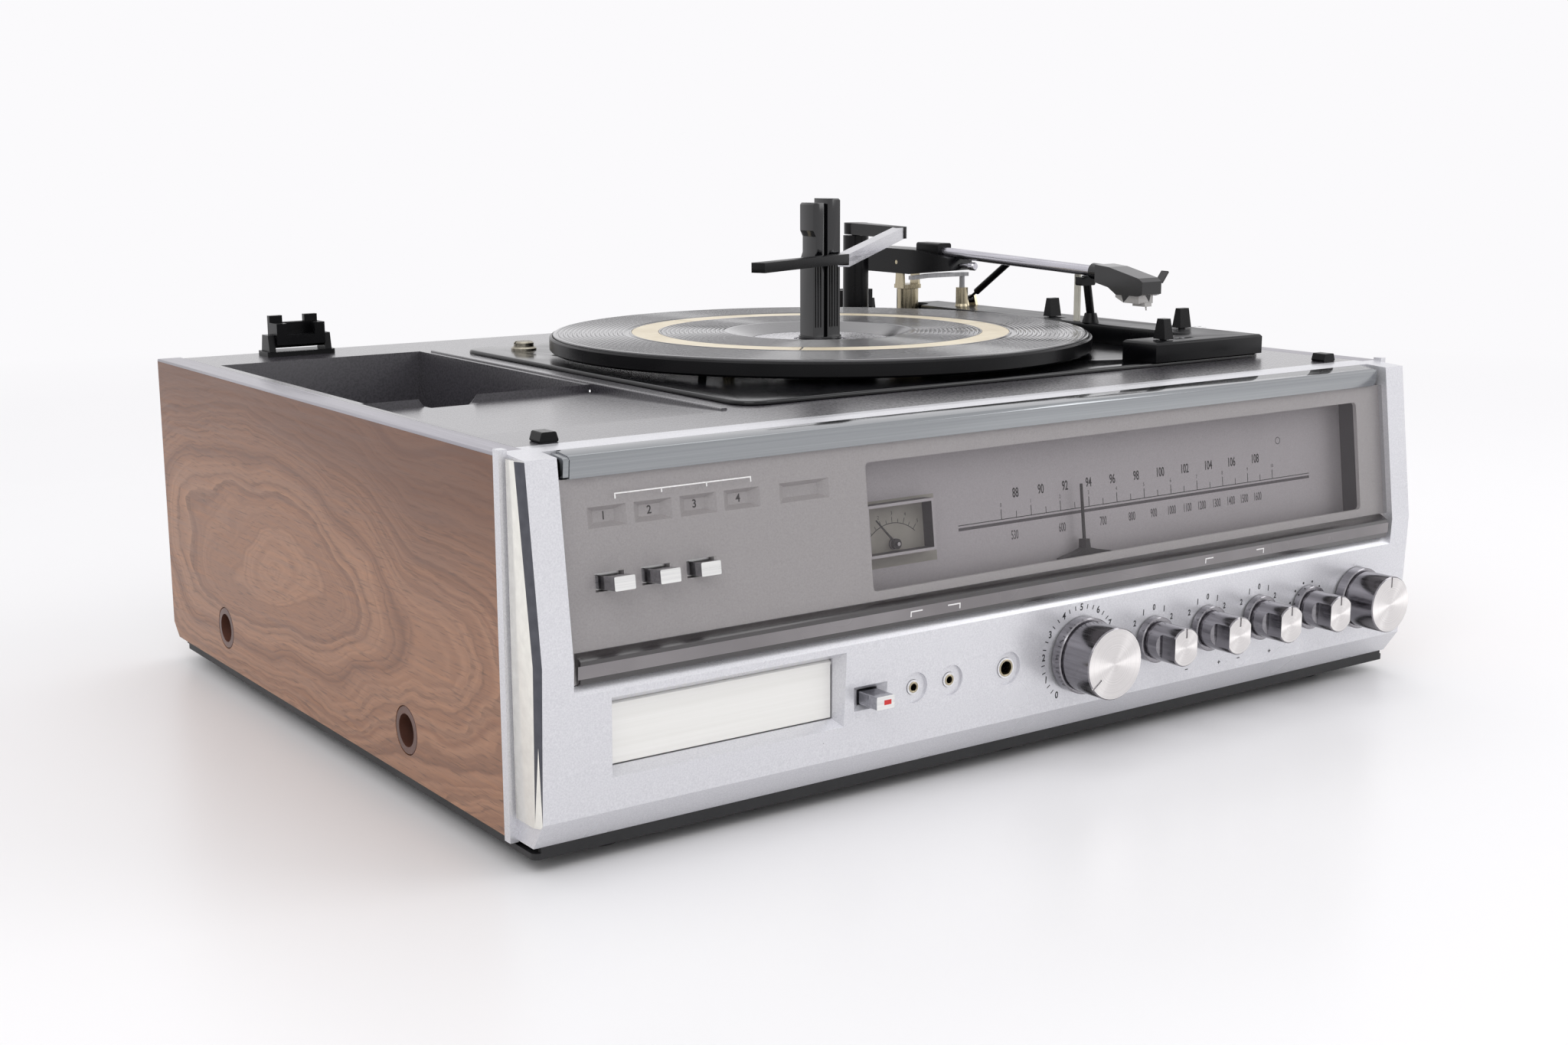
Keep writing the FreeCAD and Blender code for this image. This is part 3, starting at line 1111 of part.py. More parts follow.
def front_controls():
    """Two upright printed boards with six potentiometers and the three front jacks."""
    board_y = (POT_BACK_Y, POT_BACK_Y + CONTROL_BOARD_T)
    board_z = (BASE_FLOOR + BOARD_RISE, SHELF_Z - FRAME_T - GAP)
    jack_board = block((MIC_X[0] - BOARD_EDGE, PHONES_X - PHONES_ROOM), board_y, board_z)
    knob_board = block((PHONES_X + PHONES_ROOM, RECESS_HALF - 3), board_y, board_z)
    notches = []
    for x in KNOB_X:
        notches.append(Part.makeCylinder(SHAFT_R + 1.2, 9.0, V(x, POT_BACK_Y - 3, CONTROL_Z), V(0, 1, 0)))
    pieces = []
    inner_y = PANEL_FACE_Y + FRAME_T
    for x in KNOB_X:
        back = PANEL_FACE_Y - POT_BACK_Y
        shoulder = -FRAME_T - 0.6
        profile = [(SHAFT_R + RUN, BUSH_OUT), (BUSH_R, BUSH_OUT), (BUSH_R, shoulder), (POT_R, shoulder)]
        profile += [(POT_R, back), (SHAFT_R + RUN, back)]
        nut_profile = [(BUSH_R, GAP), (NUT_R, GAP), (NUT_R, GAP + NUT_T), (BUSH_R, GAP + NUT_T)]
        pot = joined([turned(profile), turned(nut_profile)])
        pieces.append(facing(pot, x, PANEL_FACE_Y, CONTROL_Z))
    for x in MIC_X:
        pieces.append(jack(x, MIC_RING_R, MIC_BORE_R, MIC_DEPTH, inner_y))
    pieces.append(jack(PHONES_X, PHONES_RING_R, PHONES_BORE_R, PHONES_DEPTH, inner_y))
    return [jack_board, less(knob_board, notches)] + pieces


def jack(x, ring_r, bore_r, depth, inner_y):
    """Jack body behind the panel with a metal collar in the panel's cup."""
    front = PANEL_FACE_Y + JACK_CUP_DEPTH - 0.5
    collar = Part.makeCylinder(ring_r, inner_y + 1.5 - front, V(x, front, CONTROL_Z), V(0, 1, 0))
    half = ring_r + 2
    body = block((x - half, x + half), (inner_y + 0.6, front + depth), (CONTROL_Z - half, CONTROL_Z + half))
    bore = Part.makeCylinder(bore_r, depth - 1.2, V(x, front, CONTROL_Z), V(0, 1, 0))
    return less(joined([collar, body]), [bore])


# --------------------------------------------------------------------- deck
def well_shape(grow):
    """Drafted storage well, or its outside when grown by the wall."""
    top = (WELL_X[0] - grow, WELL_X[1] + grow, WELL_Y[0] - grow, WELL_Y[1] + grow)
    d = WELL_DRAFT
    low = (top[0] + d / 3, top[1] - d, top[2] + d, top[3] - d)
    floor = DECK_Z - WELL_DEPTH - grow
    return frustum(low, top, floor, DECK_Z + (0 if grow else 0.01))


def top_deck():
    """Moulded deck with the storage well, sloping panel, raised lip and changer cut-out."""
    plate = block((-INNER, INNER), (DECK_FRONT_Y, BACK_Y + BACK_T), (DECK_UNDER, DECK_Z))
    panel = [(PANEL_Y - 3, DECK_UNDER), (PANEL_Y - 3, DECK_Z), (WELL_Y[0], DECK_Z)]
    panel += [(WELL_Y[0], DECK_Z - PANEL_DROP - DECK_T)]
    panel_x = (-INNER + 1.5, LIP_X[1] + 2)
    slab = along_x(panel, *panel_x)
    lip_y = (PANEL_Y + 2, WELL_Y[1] - 7)
    lip = rounded(block(LIP_X, lip_y, (DECK_Z - 0.5, DECK_Z + LIP_H)), 0.6, "y")
    body = joined([plate, slab, well_shape(DECK_T), lip])
    wedge = [(PANEL_Y, DECK_Z), (WELL_Y[0] + 0.01, DECK_Z - PANEL_DROP), (WELL_Y[0] + 0.01, DECK_Z + 5)]
    wedge += [(PANEL_Y, DECK_Z + 5)]
    cut_x = (PLATE_X[0] + PLATE_EDGE, PLATE_X[1] - PLATE_EDGE)
    cut_y = (PLATE_Y[0] + PLATE_EDGE, PLATE_Y[1] - PLATE_EDGE)
    opening = rounded(block(cut_x, cut_y, (DECK_UNDER - 1, DECK_Z + 1)), 6.0, "z")
    notch = Part.makeCylinder(16.0, 8.0, V(-192.5, WELL_Y[0] - 7, DECK_Z - PANEL_DROP + 11.5), V(0, 1, 0))
    cutters = [well_shape(0), along_x(wedge, WELL_X[0] - 1.5, LIP_X[0]), opening, notch]
    body = less(body, cutters)
    ribs = []
    for x in (-235.0, 233.0):
        ribs.append(block((x, x + 2), (DECK_FRONT_Y + 3, WELL_Y[0] - 5), (DECK_UNDER - 8, DECK_UNDER)))
    ribs += slots((60, 62), (cut_y[1] + 6, BACK_Y - 2), (DECK_UNDER - 8, DECK_UNDER), 50.0, 3, 0)
    return joined([body] + ribs)


def lid_bumpers():
    """Soft stops for the dust cover near the deck's front corners."""
    outline = [(-4.3, DECK_Z), (4.3, DECK_Z), (3.0, DECK_Z + 4), (-3.0, DECK_Z + 4)]
    bumper = rounded(along_y(outline, BUMPER_Y - 4, BUMPER_Y + 4), 0.8, "y")
    return [moved(bumper, x=side * BUMPER_X) for side in (-1, 1)]


def hinge_bases():
    """Base of each lid hinge: foot, two ears and the pin."""
    half = HINGE_W / 2
    foot = rounded(block((-half, half), (HINGE_Y - 8, HINGE_Y + 8), (DECK_Z, DECK_Z + 2.5)), 2.0, "z")
    ear = [(HINGE_Y - 6, DECK_Z), (HINGE_Y + 6, DECK_Z), (HINGE_Y + 4, HINGE_PIN_Z + 4)]
    ear += [(HINGE_Y - 4, HINGE_PIN_Z + 4)]
    ears = []
    for side in (-1, 1):
        inner = side * (SOCKET_W / 2 + GAP)
        ears.append(along_x(ear, inner, inner + side * 3.5))
    reach = SOCKET_W / 2 + GAP + 3.5
    pin = rod(V(-reach, HINGE_Y, HINGE_PIN_Z), V(reach, HINGE_Y, HINGE_PIN_Z), 1.6)
    base = joined([foot, pin] + ears)
    return [moved(base, x=side * HINGE_X) for side in (-1, 1)]


def hinge_socket():
    """Pivoting socket that takes the lid's tab: open-topped pocket with two rear ears."""
    half = SOCKET_W / 2
    top = DECK_Z + 16.8
    body = [(HINGE_Y - 7, HINGE_PIN_Z - 1), (HINGE_Y - 3, HINGE_PIN_Z - 2.7), (HINGE_Y + 2.4, HINGE_PIN_Z - 2.7)]
    body += [(HINGE_Y + 6, HINGE_PIN_Z + 4), (HINGE_Y + 6, top), (HINGE_Y - 7, top)]
    shell = along_x(body, -half, half)
    pocket = block((-half + 2.5, half - 2.5), (HINGE_Y - 3.4, HINGE_Y + 1.8), (HINGE_PIN_Z + 4, top + 9))
    notch = block((-half + 5.5, half - 5.5), (HINGE_Y - 9, HINGE_Y - 3), (top - 6, top + 9))
    ears = slots((-half, -half + 7), (HINGE_Y + 3, HINGE_Y + 6), (top - 1, top + 3.5), SOCKET_W - 7, 2, 0)
    bore = rod(V(-half - 1, HINGE_Y, HINGE_PIN_Z), V(half + 1, HINGE_Y, HINGE_PIN_Z), 1.6 + RUN)
    return less(joined([shell] + ears), [pocket, notch, bore])


# ------------------------------------------------------------------ changer
def changer_plate():
    """Pressed plate with a rolled rim, locating skirt and openings for what passes through."""
    low = DECK_Z + 0.3
    sheet = rounded(block(PLATE_X, PLATE_Y, (low, PLATE_Z)), PLATE_R, "z")
    top_edges = [e for e in sheet.Edges if abs(e.BoundBox.ZMin - PLATE_Z) < 1e-6]
    sheet = sheet.makeFillet(PLATE_T * 0.7, top_edges)
    edge = PLATE_EDGE + GAP
    skirt_x = (PLATE_X[0] + edge, PLATE_X[1] - edge)
    skirt_y = (PLATE_Y[0] + edge, PLATE_Y[1] - edge)
    skirt = rounded(block(skirt_x, skirt_y, (DECK_UNDER - 4, low)), 5.6, "z")
    t = PLATE_T
    inner_x = (skirt_x[0] + t, skirt_x[1] - t)
    inner_y = (skirt_y[0] + t, skirt_y[1] - t)
    hollow = rounded(block(inner_x, inner_y, (DECK_UNDER - 5, low + 0.01)), 4.0, "z")
    body = joined([sheet, skirt.cut(hollow)])
    cutters = [Part.makeCylinder(STEM_R + 2, 9.0, V(SPINDLE_X, SPINDLE_Y, PLATE_Z - 5))]
    idler = idler_place()
    pulley = pulley_place()
    cutters.append(Part.makeCylinder(PULLEY_R + 3, 9.0, V(pulley[0], pulley[1], PLATE_Z - 5)))
    cutters.append(Part.makeCylinder(3.0, 9.0, V(idler[0], idler[1], PLATE_Z - 5)))
    cutters.append(Part.makeCylinder(4.0, 9.0, V(ARM_X, ARM_Y, PLATE_Z - 5)))
    for x0, x1, y0, y1 in lever_slots():
        cutters.append(block((x0, x1), (y0, y1), (PLATE_Z - 5, PLATE_Z + 1)))
    return less(body, cutters)


def on_wheel(radius, degrees):
    """(x, y) at a radius and heading from the spindle."""
    angle = math.radians(degrees)
    return (SPINDLE_X + radius * math.cos(angle), SPINDLE_Y + radius * math.sin(angle))


def idler_place():
    """Centre of the idler, running just inside the platter's rim."""
    return on_wheel(PLATTER_R - PLATTER_RIM_T - IDLER_R - BELT_GAP, 205)


def pulley_place():
    """Centre of the motor pulley, on the line from the idler to the spindle."""
    inward = PLATTER_R - PLATTER_RIM_T - 2 * IDLER_R - PULLEY_R - 2 * BELT_GAP
    return on_wheel(inward, 205)


def lever_slots():
    """Limits (x0, x1, y0, y1) of the three lever slots."""
    half = LEVER_STEM_T / 2 + GAP
    x, y = SPEED_LEVER
    found = [(x - half, x + SPEED_TRAVEL + half, y - half, y + half)]
    x, y = SIZE_LEVER
    found.append((x - half, x + half, y - half, y + SIZE_TRAVEL + half))
    x, y = REJECT_LEVER
    found.append((x - half, x + half, y - REJECT_TRAVEL - half, y + half))
    return found


def control_block():
    """Hollow L-shaped moulding that carries the three levers."""
    x0, x1 = BLOCK_X
    y0, y1 = BLOCK_Y
    outline = [(x0, y0), (x1, y0), (x1, BAR_END_Y), (BAR_X, BAR_END_Y), (BAR_X, y1), (x0, y1)]
    body = along_z(outline, PLATE_Z, BLOCK_TOP_Z)
    top_edges = [e for e in body.Edges if e.BoundBox.ZMin > BLOCK_TOP_Z - 1e-6]
    body = body.makeChamfer(1.0, top_edges)
    w = BLOCK_WALL
    hollow = [(x0 + w, y0 + w), (x1 - w, y0 + w), (x1 - w, BAR_END_Y - w), (BAR_X + w, BAR_END_Y - w)]
    hollow += [(BAR_X + w, y1 - w), (x0 + w, y1 - w)]
    cavity = along_z(hollow, PLATE_Z - 1, BLOCK_TOP_Z - w)
    cutters = [cavity]
    for a, b, c, d in lever_slots():
        cutters.append(block((a, b), (c, d), (PLATE_Z, BLOCK_TOP_Z + 1)))
    arm_gap = Part.makeCylinder(12.5, 20.0, V(ARM_X, ARM_Y, PLATE_Z - 1))
    cutters.append(arm_gap)
    return less(body, cutters)


def lever(place, along):
    """Tapered finger lever, its stem and the slider under the block's top."""
    x, y = place
    w = 4.0
    d = 3.0
    if along == "x":
        w, d = d, w
    top = BLOCK_TOP_Z + GAP
    cap = frustum((-w, w, -d, d), (-w * 0.8, w * 0.8, -d * 0.55, d * 0.55), top, top + LEVER_H)
    half = LEVER_STEM_T / 2
    under = BLOCK_TOP_Z - BLOCK_WALL
    stem = block((-half, half), (-half, half), (under - 2.4, top + 1))
    slider = block((-4, 4), (-4, 4), (under - 2.4, under - GAP))
    return moved(joined([cap, stem, slider]), x, y)


def transit_screw():
    """Slotted transit screw with its cup washer."""
    profile = [(3.4, 0), (6.6, 0), (6.6, 0.8), (5.8, 1.6), (3.4, 1.6)]
    washer = turned(profile)
    head = [(0, -8), (2.6, -8), (2.6, 1.6), (5.2, 1.6), (5.2, 3.6), (4.4, 4.4), (0, 4.4)]
    body = less(turned(head), [block((-6, 6), (-0.6, 0.6), (3.2, 5))])
    plate_pad = moved(washer, TRANSIT_X, TRANSIT_Y, PLATE_Z)
    return [plate_pad, moved(body.common(Part.makeCylinder(9, 9)), TRANSIT_X, TRANSIT_Y, PLATE_Z)]


def platter_bearing():
    """Fixed bearing tower with its flange, thrust ring and the bore for the adapter's stem."""
    top = PLATTER_DISH + DISC_T
    thrust = PLATTER_FLOAT - 0.3
    profile = [(STEM_R + RUN, -STEM_L), (8, -STEM_L), (8, -10), (20, -2.2), (20, -PLATE_T), (5.2, -PLATE_T)]
    profile += [(5.2, 0), (20, 0), (20, thrust), (HUB_BORE_R - RUN, thrust), (HUB_BORE_R - RUN, top)]
    profile += [(STEM_R + RUN, top)]
    return moved(turned(profile), SPINDLE_X, SPINDLE_Y, PLATE_Z)


def platter():
    """Cast platter: rim, web, lowered centre and hub."""
    r = PLATTER_R
    rim = r - PLATTER_RIM_T
    top = PLATTER_TOP
    dish = PLATTER_DISH
    under = PLATTER_FLOAT
    slope_out = MAT_DISH_R + 1.5
    slope_in = DISC_R + 11
    profile = [(HUB_BORE_R, under), (HUB_BORE_R + 8, under), (slope_in, under + 0.3)]
    profile += [(slope_out + 2, top - PLATTER_WEB), (rim, top - PLATTER_WEB), (rim, under), (r - 1, under), (r, under + 1)]
    profile += [(r, top + 0.6), (r - 0.7, top + 1.3), (r - 1.4, top + 1.3), (r - 1.8, top + 0.8), (r - 1.8, top)]
    profile += [(slope_out, top), (slope_in, dish), (HUB_BORE_R, dish)]
    return moved(turned(profile), SPINDLE_X, SPINDLE_Y, PLATE_Z)


def platter_mat():
    """Ribbed rubber mat with a bare groove for the pale ring and a sloping inner edge."""
    base = PLATTER_TOP
    top = base + MAT_T
    inner, outer = RIB_RING_R
    profile = [(MAT_R, base), (MAT_R, top - 0.5), (MAT_R - 0.5, top), (outer + 0.6, top), (outer + 0.6, top - 0.4)]
    profile += [(inner - 0.6, top - 0.4), (inner - 0.6, top), (MAT_DISH_R, top), (DISC_R + 0.2, PLATTER_DISH + DISC_T)]
    profile += [(DISC_R + 0.2, PLATTER_DISH), (DISC_R + 11, PLATTER_DISH), (MAT_DISH_R + 1.5, base)]
    return moved(turned(profile), SPINDLE_X, SPINDLE_Y, PLATE_Z)


def mat_ring():
    """Pale ring let into the mat."""
    inner, outer = RIB_RING_R
    top = PLATTER_TOP + MAT_T
    profile = [(inner, top - 0.4), (outer, top - 0.4), (outer, top - 0.1), (inner, top - 0.1)]
    return moved(turned(profile), SPINDLE_X, SPINDLE_Y, PLATE_Z)


def hub_disc():
    """Bright disc in the platter's centre."""
    hole = HUB_BORE_R + 1.6
    profile = [(hole, 0), (DISC_R, 0), (DISC_R, DISC_T - 0.3), (DISC_R - 0.5, DISC_T), (hole, DISC_T)]
    return moved(turned(profile), SPINDLE_X, SPINDLE_Y, PLATE_Z + PLATTER_DISH)


def spindle_adapter():
    """Tall adapter for large-hole records: two slabs, a shoulder and the locating stem."""
    x0 = SPINDLE_X - ADAPTER_W / 2
    y0 = SPINDLE_Y - ADAPTER_DEPTH / 2
    y1 = SPINDLE_Y + ADAPTER_DEPTH / 2
    base = PLATE_Z + PLATTER_DISH + DISC_T + BELT_GAP
    groove_x = x0 + 6.6
    slab_x = groove_x + ADAPTER_GROOVE
    shoulder = ADAPTER_SHOULDER_Z
    top = ADAPTER_TOP_Z
    left = [(x0, base), (x0, shoulder - 12), (x0 + 1.6, shoulder - 8), (x0 + 1.6, shoulder), (x0, shoulder + 3)]
    left += [(x0, top - 3), (x0 + 1, top - 2), (groove_x, top - 2), (groove_x, base)]
    right = [(slab_x, base), (slab_x, top), (x0 + ADAPTER_W - 1, top), (x0 + ADAPTER_W, top - 1), (x0 + ADAPTER_W, base)]
    web_y = (y0 + 3, y1 - 3)
    web = block((groove_x - 1, slab_x + 1), web_y, (base, top - 4))
    foot = Part.makeCylinder(HUB_BORE_R - 1, 1.5, V(SPINDLE_X, SPINDLE_Y, base))
    stem = Part.makeCylinder(STEM_R, STEM_L - 4, V(SPINDLE_X, SPINDLE_Y, base + 1), V(0, 0, -1))
    body = joined([along_y(left, y0, y1), along_y(right, y0, y1), web, foot, stem])
    flutes = []
    pitch = 1.6
    for start, count in ((x0 + 1.1, 3), (slab_x + 1.0, 4)):
        for n in range(count):
            x = start + n * pitch
            flutes.append(block((x, x + 0.7), (y0 - 1, y0 + 0.6), (base + 6, shoulder - 13)))
    return less(body, flutes)


def idler_wheel():
    """Rubber-tyred idler on its own shaft."""
    z = PLATTER_TOP - PLATTER_WEB - 0.8 - IDLER_T
    r = IDLER_R
    profile = [(0, -9), (2.0, -9), (2.0, z - 0.4), (5, z - 0.4), (5, z + 0.8), (r - 5, z + 0.8), (r - 5, z), (r, z)]
    profile += [(r, z + IDLER_T), (r - 5, z + IDLER_T), (r - 5, z + IDLER_T - 0.8), (0, z + IDLER_T - 0.8)]
    x, y = idler_place()
    return moved(turned(profile), x, y, PLATE_Z)


def motor_top_z():
    """Upper face of the changer motor, hung under the plate."""
    return PLATE_Z - PLATE_T - 6.0


def motor_pulley_steps():
    """Stepped pulley and shaft of the changer motor."""
    x, y = pulley_place()
    z = PLATTER_TOP - PLATTER_WEB - 0.8 - IDLER_T
    low = motor_top_z() - PLATE_Z - 3
    profile = [(0, low), (1.5, low), (1.5, -3), (PULLEY_R - 1.2, -3), (PULLEY_R - 1.2, z - 0.6), (PULLEY_R, z - 0.4)]
    profile += [(PULLEY_R, z + IDLER_T), (0, z + IDLER_T)]
    return moved(turned(profile), x, y, PLATE_Z)


def changer_motor():
    """Shaded-pole motor under the plate: stacked core, coil, bells and hanging posts."""
    x, y = pulley_place()
    top = motor_top_z()
    r = MOTOR_R
    core_low = top - MOTOR_H * 0.65
    core_high = top - MOTOR_H * 0.3
    core = rounded(block((-r, r), (-r, r), (core_low, core_high)), 4.0, "z")
    bell = [(1.5 + RUN, top), (6, top), (14, top - 4), (r * 0.72, core_high), (r * 0.72, core_low)]
    bell += [(14, core_low - 8), (0, core_low - 8), (0, top - 6), (1.5 + RUN, top - 6)]
    posts = []
    for px, py in ((-r + 5, -r + 5), (r - 5, -r + 5), (-r + 5, r - 5), (r - 5, r - 5)):
        posts.append(Part.makeCylinder(3.0, PLATE_Z - PLATE_T - core_high, V(px, py, core_high)))
    return moved(joined([core, turned(bell)] + posts), x, y)


# -------------------------------------------------------------- record arm
def bar_between(a, b, top_a, top_b, thick, width_a, width_b):
    """Tapered flat bar between two plan points."""
    along = V(b[0] - a[0], b[1] - a[1], 0).normalize()
    side = V(-along.y, along.x, 0)
    wires = []
    for (x, y), top, width in ((a, top_a, width_a), (b, top_b, width_b)):
        centre = V(x, y, top)
        half = side * (width / 2)
        drop = V(0, 0, -thick)
        corners = [centre - half, centre + half, centre + half + drop, centre - half + drop]
        wires.append(Part.makePolygon(corners + [corners[0]]))
    return Part.makeLoft(wires, True, True)


def overarm():
    """Record-steadying arm: hub, rising leg, bright link and black tip."""
    top = OVERARM_TOP_Z
    w = OVERARM_W
    hub = Part.makeCylinder(7.0, OVERARM_T, V(POST_X, POST_Y, top - OVERARM_T))
    leg = bar_between((POST_X, POST_Y), ELBOW, top, top, OVERARM_T, 11.0, w + 2)
    knuckle = Part.makeCylinder((w + 2) / 2, OVERARM_T, V(ELBOW[0], ELBOW[1], top - OVERARM_T))
    body = joined([hub, leg, knuckle])
    bore = Part.makeCylinder(POST_PIN_R + RUN, OVERARM_T - 1.5, V(POST_X, POST_Y, top - OVERARM_T - 0.001))
    return body.cut(bore)


def overarm_link():
    """Bright link from the elbow to the shoulder."""
    link = bar_between(ELBOW, SHOULDER, OVERARM_TOP_Z, OVERARM_LOW_Z, OVERARM_T, OVERARM_W, OVERARM_W)
    knuckle = Part.makeCylinder((OVERARM_W + 2) / 2, 40.0, V(ELBOW[0], ELBOW[1], OVERARM_TOP_Z - 20))
    return link.cut(knuckle)


def overarm_tip():
    """Black tip with a small raised end."""
    low = OVERARM_LOW_Z
    tip = bar_between(SHOULDER, TIP, low, low, TIP_T, OVERARM_W, OVERARM_W + 1.5)
    knuckle = Part.makeCylinder(OVERARM_W / 2, OVERARM_T - 1, V(SHOULDER[0], SHOULDER[1], low - OVERARM_T + 1))
    tip = joined([tip, knuckle])
    link = bar_between(ELBOW, SHOULDER, OVERARM_TOP_Z, OVERARM_LOW_Z, OVERARM_T, OVERARM_W, OVERARM_W)
    return tip.cut(link)


def arm_posts():
    """Overarm post with its pin, tonearm rest with a fork, and the transport clip."""
    flange = [(0, 0), (12, 0), (12, 1.5), (9, 3), (7.5, 10), (7.5, POST_TOP_Z - PLATE_Z), (POST_PIN_R, POST_TOP_Z - PLATE_Z)]
    pin_top = OVERARM_TOP_Z - PLATE_Z - 2.2
    flange += [(POST_PIN_R, pin_top), (0, pin_top)]
    post = moved(turned(flange), POST_X, POST_Y, PLATE_Z)
    base_z = BLOCK_TOP_Z
    tube_z = tube_centre(REST_Y) - TUBE_R - 0.3
    foot = Part.makeCone(4.6, 3.2, 5.0, V(REST_X, REST_Y, base_z))
    lean = rod(V(REST_X, REST_Y, base_z + 4), V(ARM_X + 1, REST_Y, tube_z - 2.5), 2.2)
    cup_x = (ARM_X - 5, ARM_X + 5)
    fork = block(cup_x, (REST_Y - 2.5, REST_Y + 2.5), (tube_z - 5, tube_z + 1.5))
    seat = rod(V(ARM_X, REST_Y - 5, tube_centre(REST_Y - 5)), V(ARM_X, REST_Y + 5, tube_centre(REST_Y + 5)), TUBE_R + 0.3)
    open_side = block((ARM_X - 9, ARM_X - 0.4), (REST_Y - 4, REST_Y + 4), (tube_z - 0.5, tube_z + 9))
    rest = less(joined([foot, lean, rounded(fork, 1.0, "y")]), [seat, open_side])
    clip_x = (ARM_X + TUBE_R + 1.0, ARM_X + TUBE_R + 3.0)
    clip = block(clip_x, (REST_Y + 9, REST_Y + 13), (base_z, tube_centre(REST_Y) + 2))
    return [post, rest, rounded(clip, 0.6, "z")]


def tube_centre(y):
    """Height of the tonearm tube's centre line."""
    share = (ARM_Y - y) / (ARM_Y - TUBE_FRONT_Y)
    return TUBE_REAR_Z + (TUBE_FRONT_Z - TUBE_REAR_Z) * share


def tonearm_base():
    """Fixed arm bearing and lift socket on one bracket."""
    top = ARM_BASE_TOP_Z - PLATE_Z
    profile = [(ARM_SHAFT_R + RUN, -PLATE_T), (3.9, -PLATE_T), (3.9, 0), (12, 0), (12, 2), (8, 4), (6.5, 5), (6.5, top)]
    profile += [(ARM_SHAFT_R + RUN, top)]
    tower = moved(turned(profile), ARM_X, ARM_Y, PLATE_Z)
    socket = [(1.6 + RUN, 0), (4.0, 0), (3.6, 1.5), (3.6, 11), (1.6 + RUN, 11)]
    lift = moved(turned(socket), LIFT_X, LIFT_Y, BLOCK_TOP_Z)
    ear = [(CUE_Y - 4, BLOCK_TOP_Z), (CUE_Y + 4, BLOCK_TOP_Z), (CUE_Y + 2, CUE_Z + 2.4), (CUE_Y - 2, CUE_Z + 2.4)]
    ears = [along_x(ear, CUE_X + side * 2.6, CUE_X + side * 4.2) for side in (-1, 1)]
    pin = rod(V(CUE_X - 4, CUE_Y, CUE_Z), V(CUE_X + 4, CUE_Y, CUE_Z), 0.8)
    return [tower, lift, joined(ears + [pin])]


def tonearm_gimbal():
    """Turning yoke: shaft, table, two arms and the cross pin."""
    low = ARM_BASE_TOP_Z + BELT_GAP
    shaft = Part.makeCylinder(ARM_SHAFT_R, 17.0, V(ARM_X, ARM_Y, low + 1), V(0, 0, -1))
    half = YOKE_W / 2
    table = rounded(block((ARM_X - half, ARM_X + half), (ARM_Y - 6, ARM_Y + 6), (low, low + 2.4)), 2.0, "z")
    arm = [(ARM_Y - 4, low), (ARM_Y + 4, low), (ARM_Y + 2.6, YOKE_PIVOT_Z + 2.6), (ARM_Y - 2.6, YOKE_PIVOT_Z + 2.6)]
    arms = []
    for side in (-1, 1):
        inner = ARM_X + side * (half - YOKE_ARM_T)
        arms.append(along_x(arm, inner, inner + side * YOKE_ARM_T))
    reach = HOUSING_W / 2 - FIT
    pin = rod(V(ARM_X - reach, ARM_Y, YOKE_PIVOT_Z), V(ARM_X + reach, ARM_Y, YOKE_PIVOT_Z), ARM_PIN_R)
    collar = Part.makeCylinder(6.0, 1.2, V(ARM_X, ARM_Y, low))
    return joined([shaft, table, collar, pin] + arms)


def arm_housing():
    """Black housing over the yoke, open below, with the counterweight end closed."""
    half = HOUSING_W / 2
    y0, y1 = HOUSING_Y
    low = YOKE_PIVOT_Z - 6.5
    side = [(y0, low + 4), (y0 + 2, HOUSING_TOP_Z - 3.5), (ARM_Y - 16, HOUSING_TOP_Z), (y1 - 3, HOUSING_TOP_Z)]
    side += [(y1, HOUSING_TOP_Z - 3), (y1, low + 2), (y1 - 2, low), (ARM_Y - 12, low), (y0 + 10, low + 3.1)]
    shell = along_x(side, ARM_X - half, ARM_X + half)
    w = HOUSING_WALL
    cavity_x = (ARM_X - half + w, ARM_X + half - w)
    cavity = block(cavity_x, (ARM_Y - 14, ARM_Y + 14), (low - 1, HOUSING_TOP_Z - w))
    front = HOUSING_TOP_Z - 3.2
    bore = rod(V(ARM_X - 20, ARM_Y, YOKE_PIVOT_Z), V(ARM_X + 20, ARM_Y, YOKE_PIVOT_Z), ARM_PIN_R + RUN)
    tube = rod(V(ARM_X, ARM_Y - 60, tube_centre(ARM_Y - 60)), V(ARM_X, ARM_Y - 14, tube_centre(ARM_Y - 14)), TUBE_R)
    shoulder = block((ARM_X - 5, ARM_X + 5), (ARM_Y - 34, ARM_Y - 14), (HOUSING_TOP_Z - 4, front + 7.5))
    return less(joined([shell, rounded(shoulder, 1.5, "y")]), [cavity, bore, tube])


def arm_tube():
    """Straight tube from the housing to the headshell, and the tracking-force screw."""
    start = V(ARM_X, ARM_Y - 14, tube_centre(ARM_Y - 14))
    end = V(ARM_X, TUBE_FRONT_Y, tube_centre(TUBE_FRONT_Y))
    tube = rod(start, end, TUBE_R)
    bore = rod(start + V(0, 1, 0), end - V(0, 1, 0), TUBE_R - 0.6)
    y0 = HOUSING_Y[0]
    profile = [(0, 0), (1.4, 0), (1.4, 7), (2.4, 8), (2.4, 11.4), (1.8, 12.2), (0, 12.2)]
    return [tube.cut(bore), facing(turned(profile), ARM_X, y0, YOKE_PIVOT_Z + 0.2)]


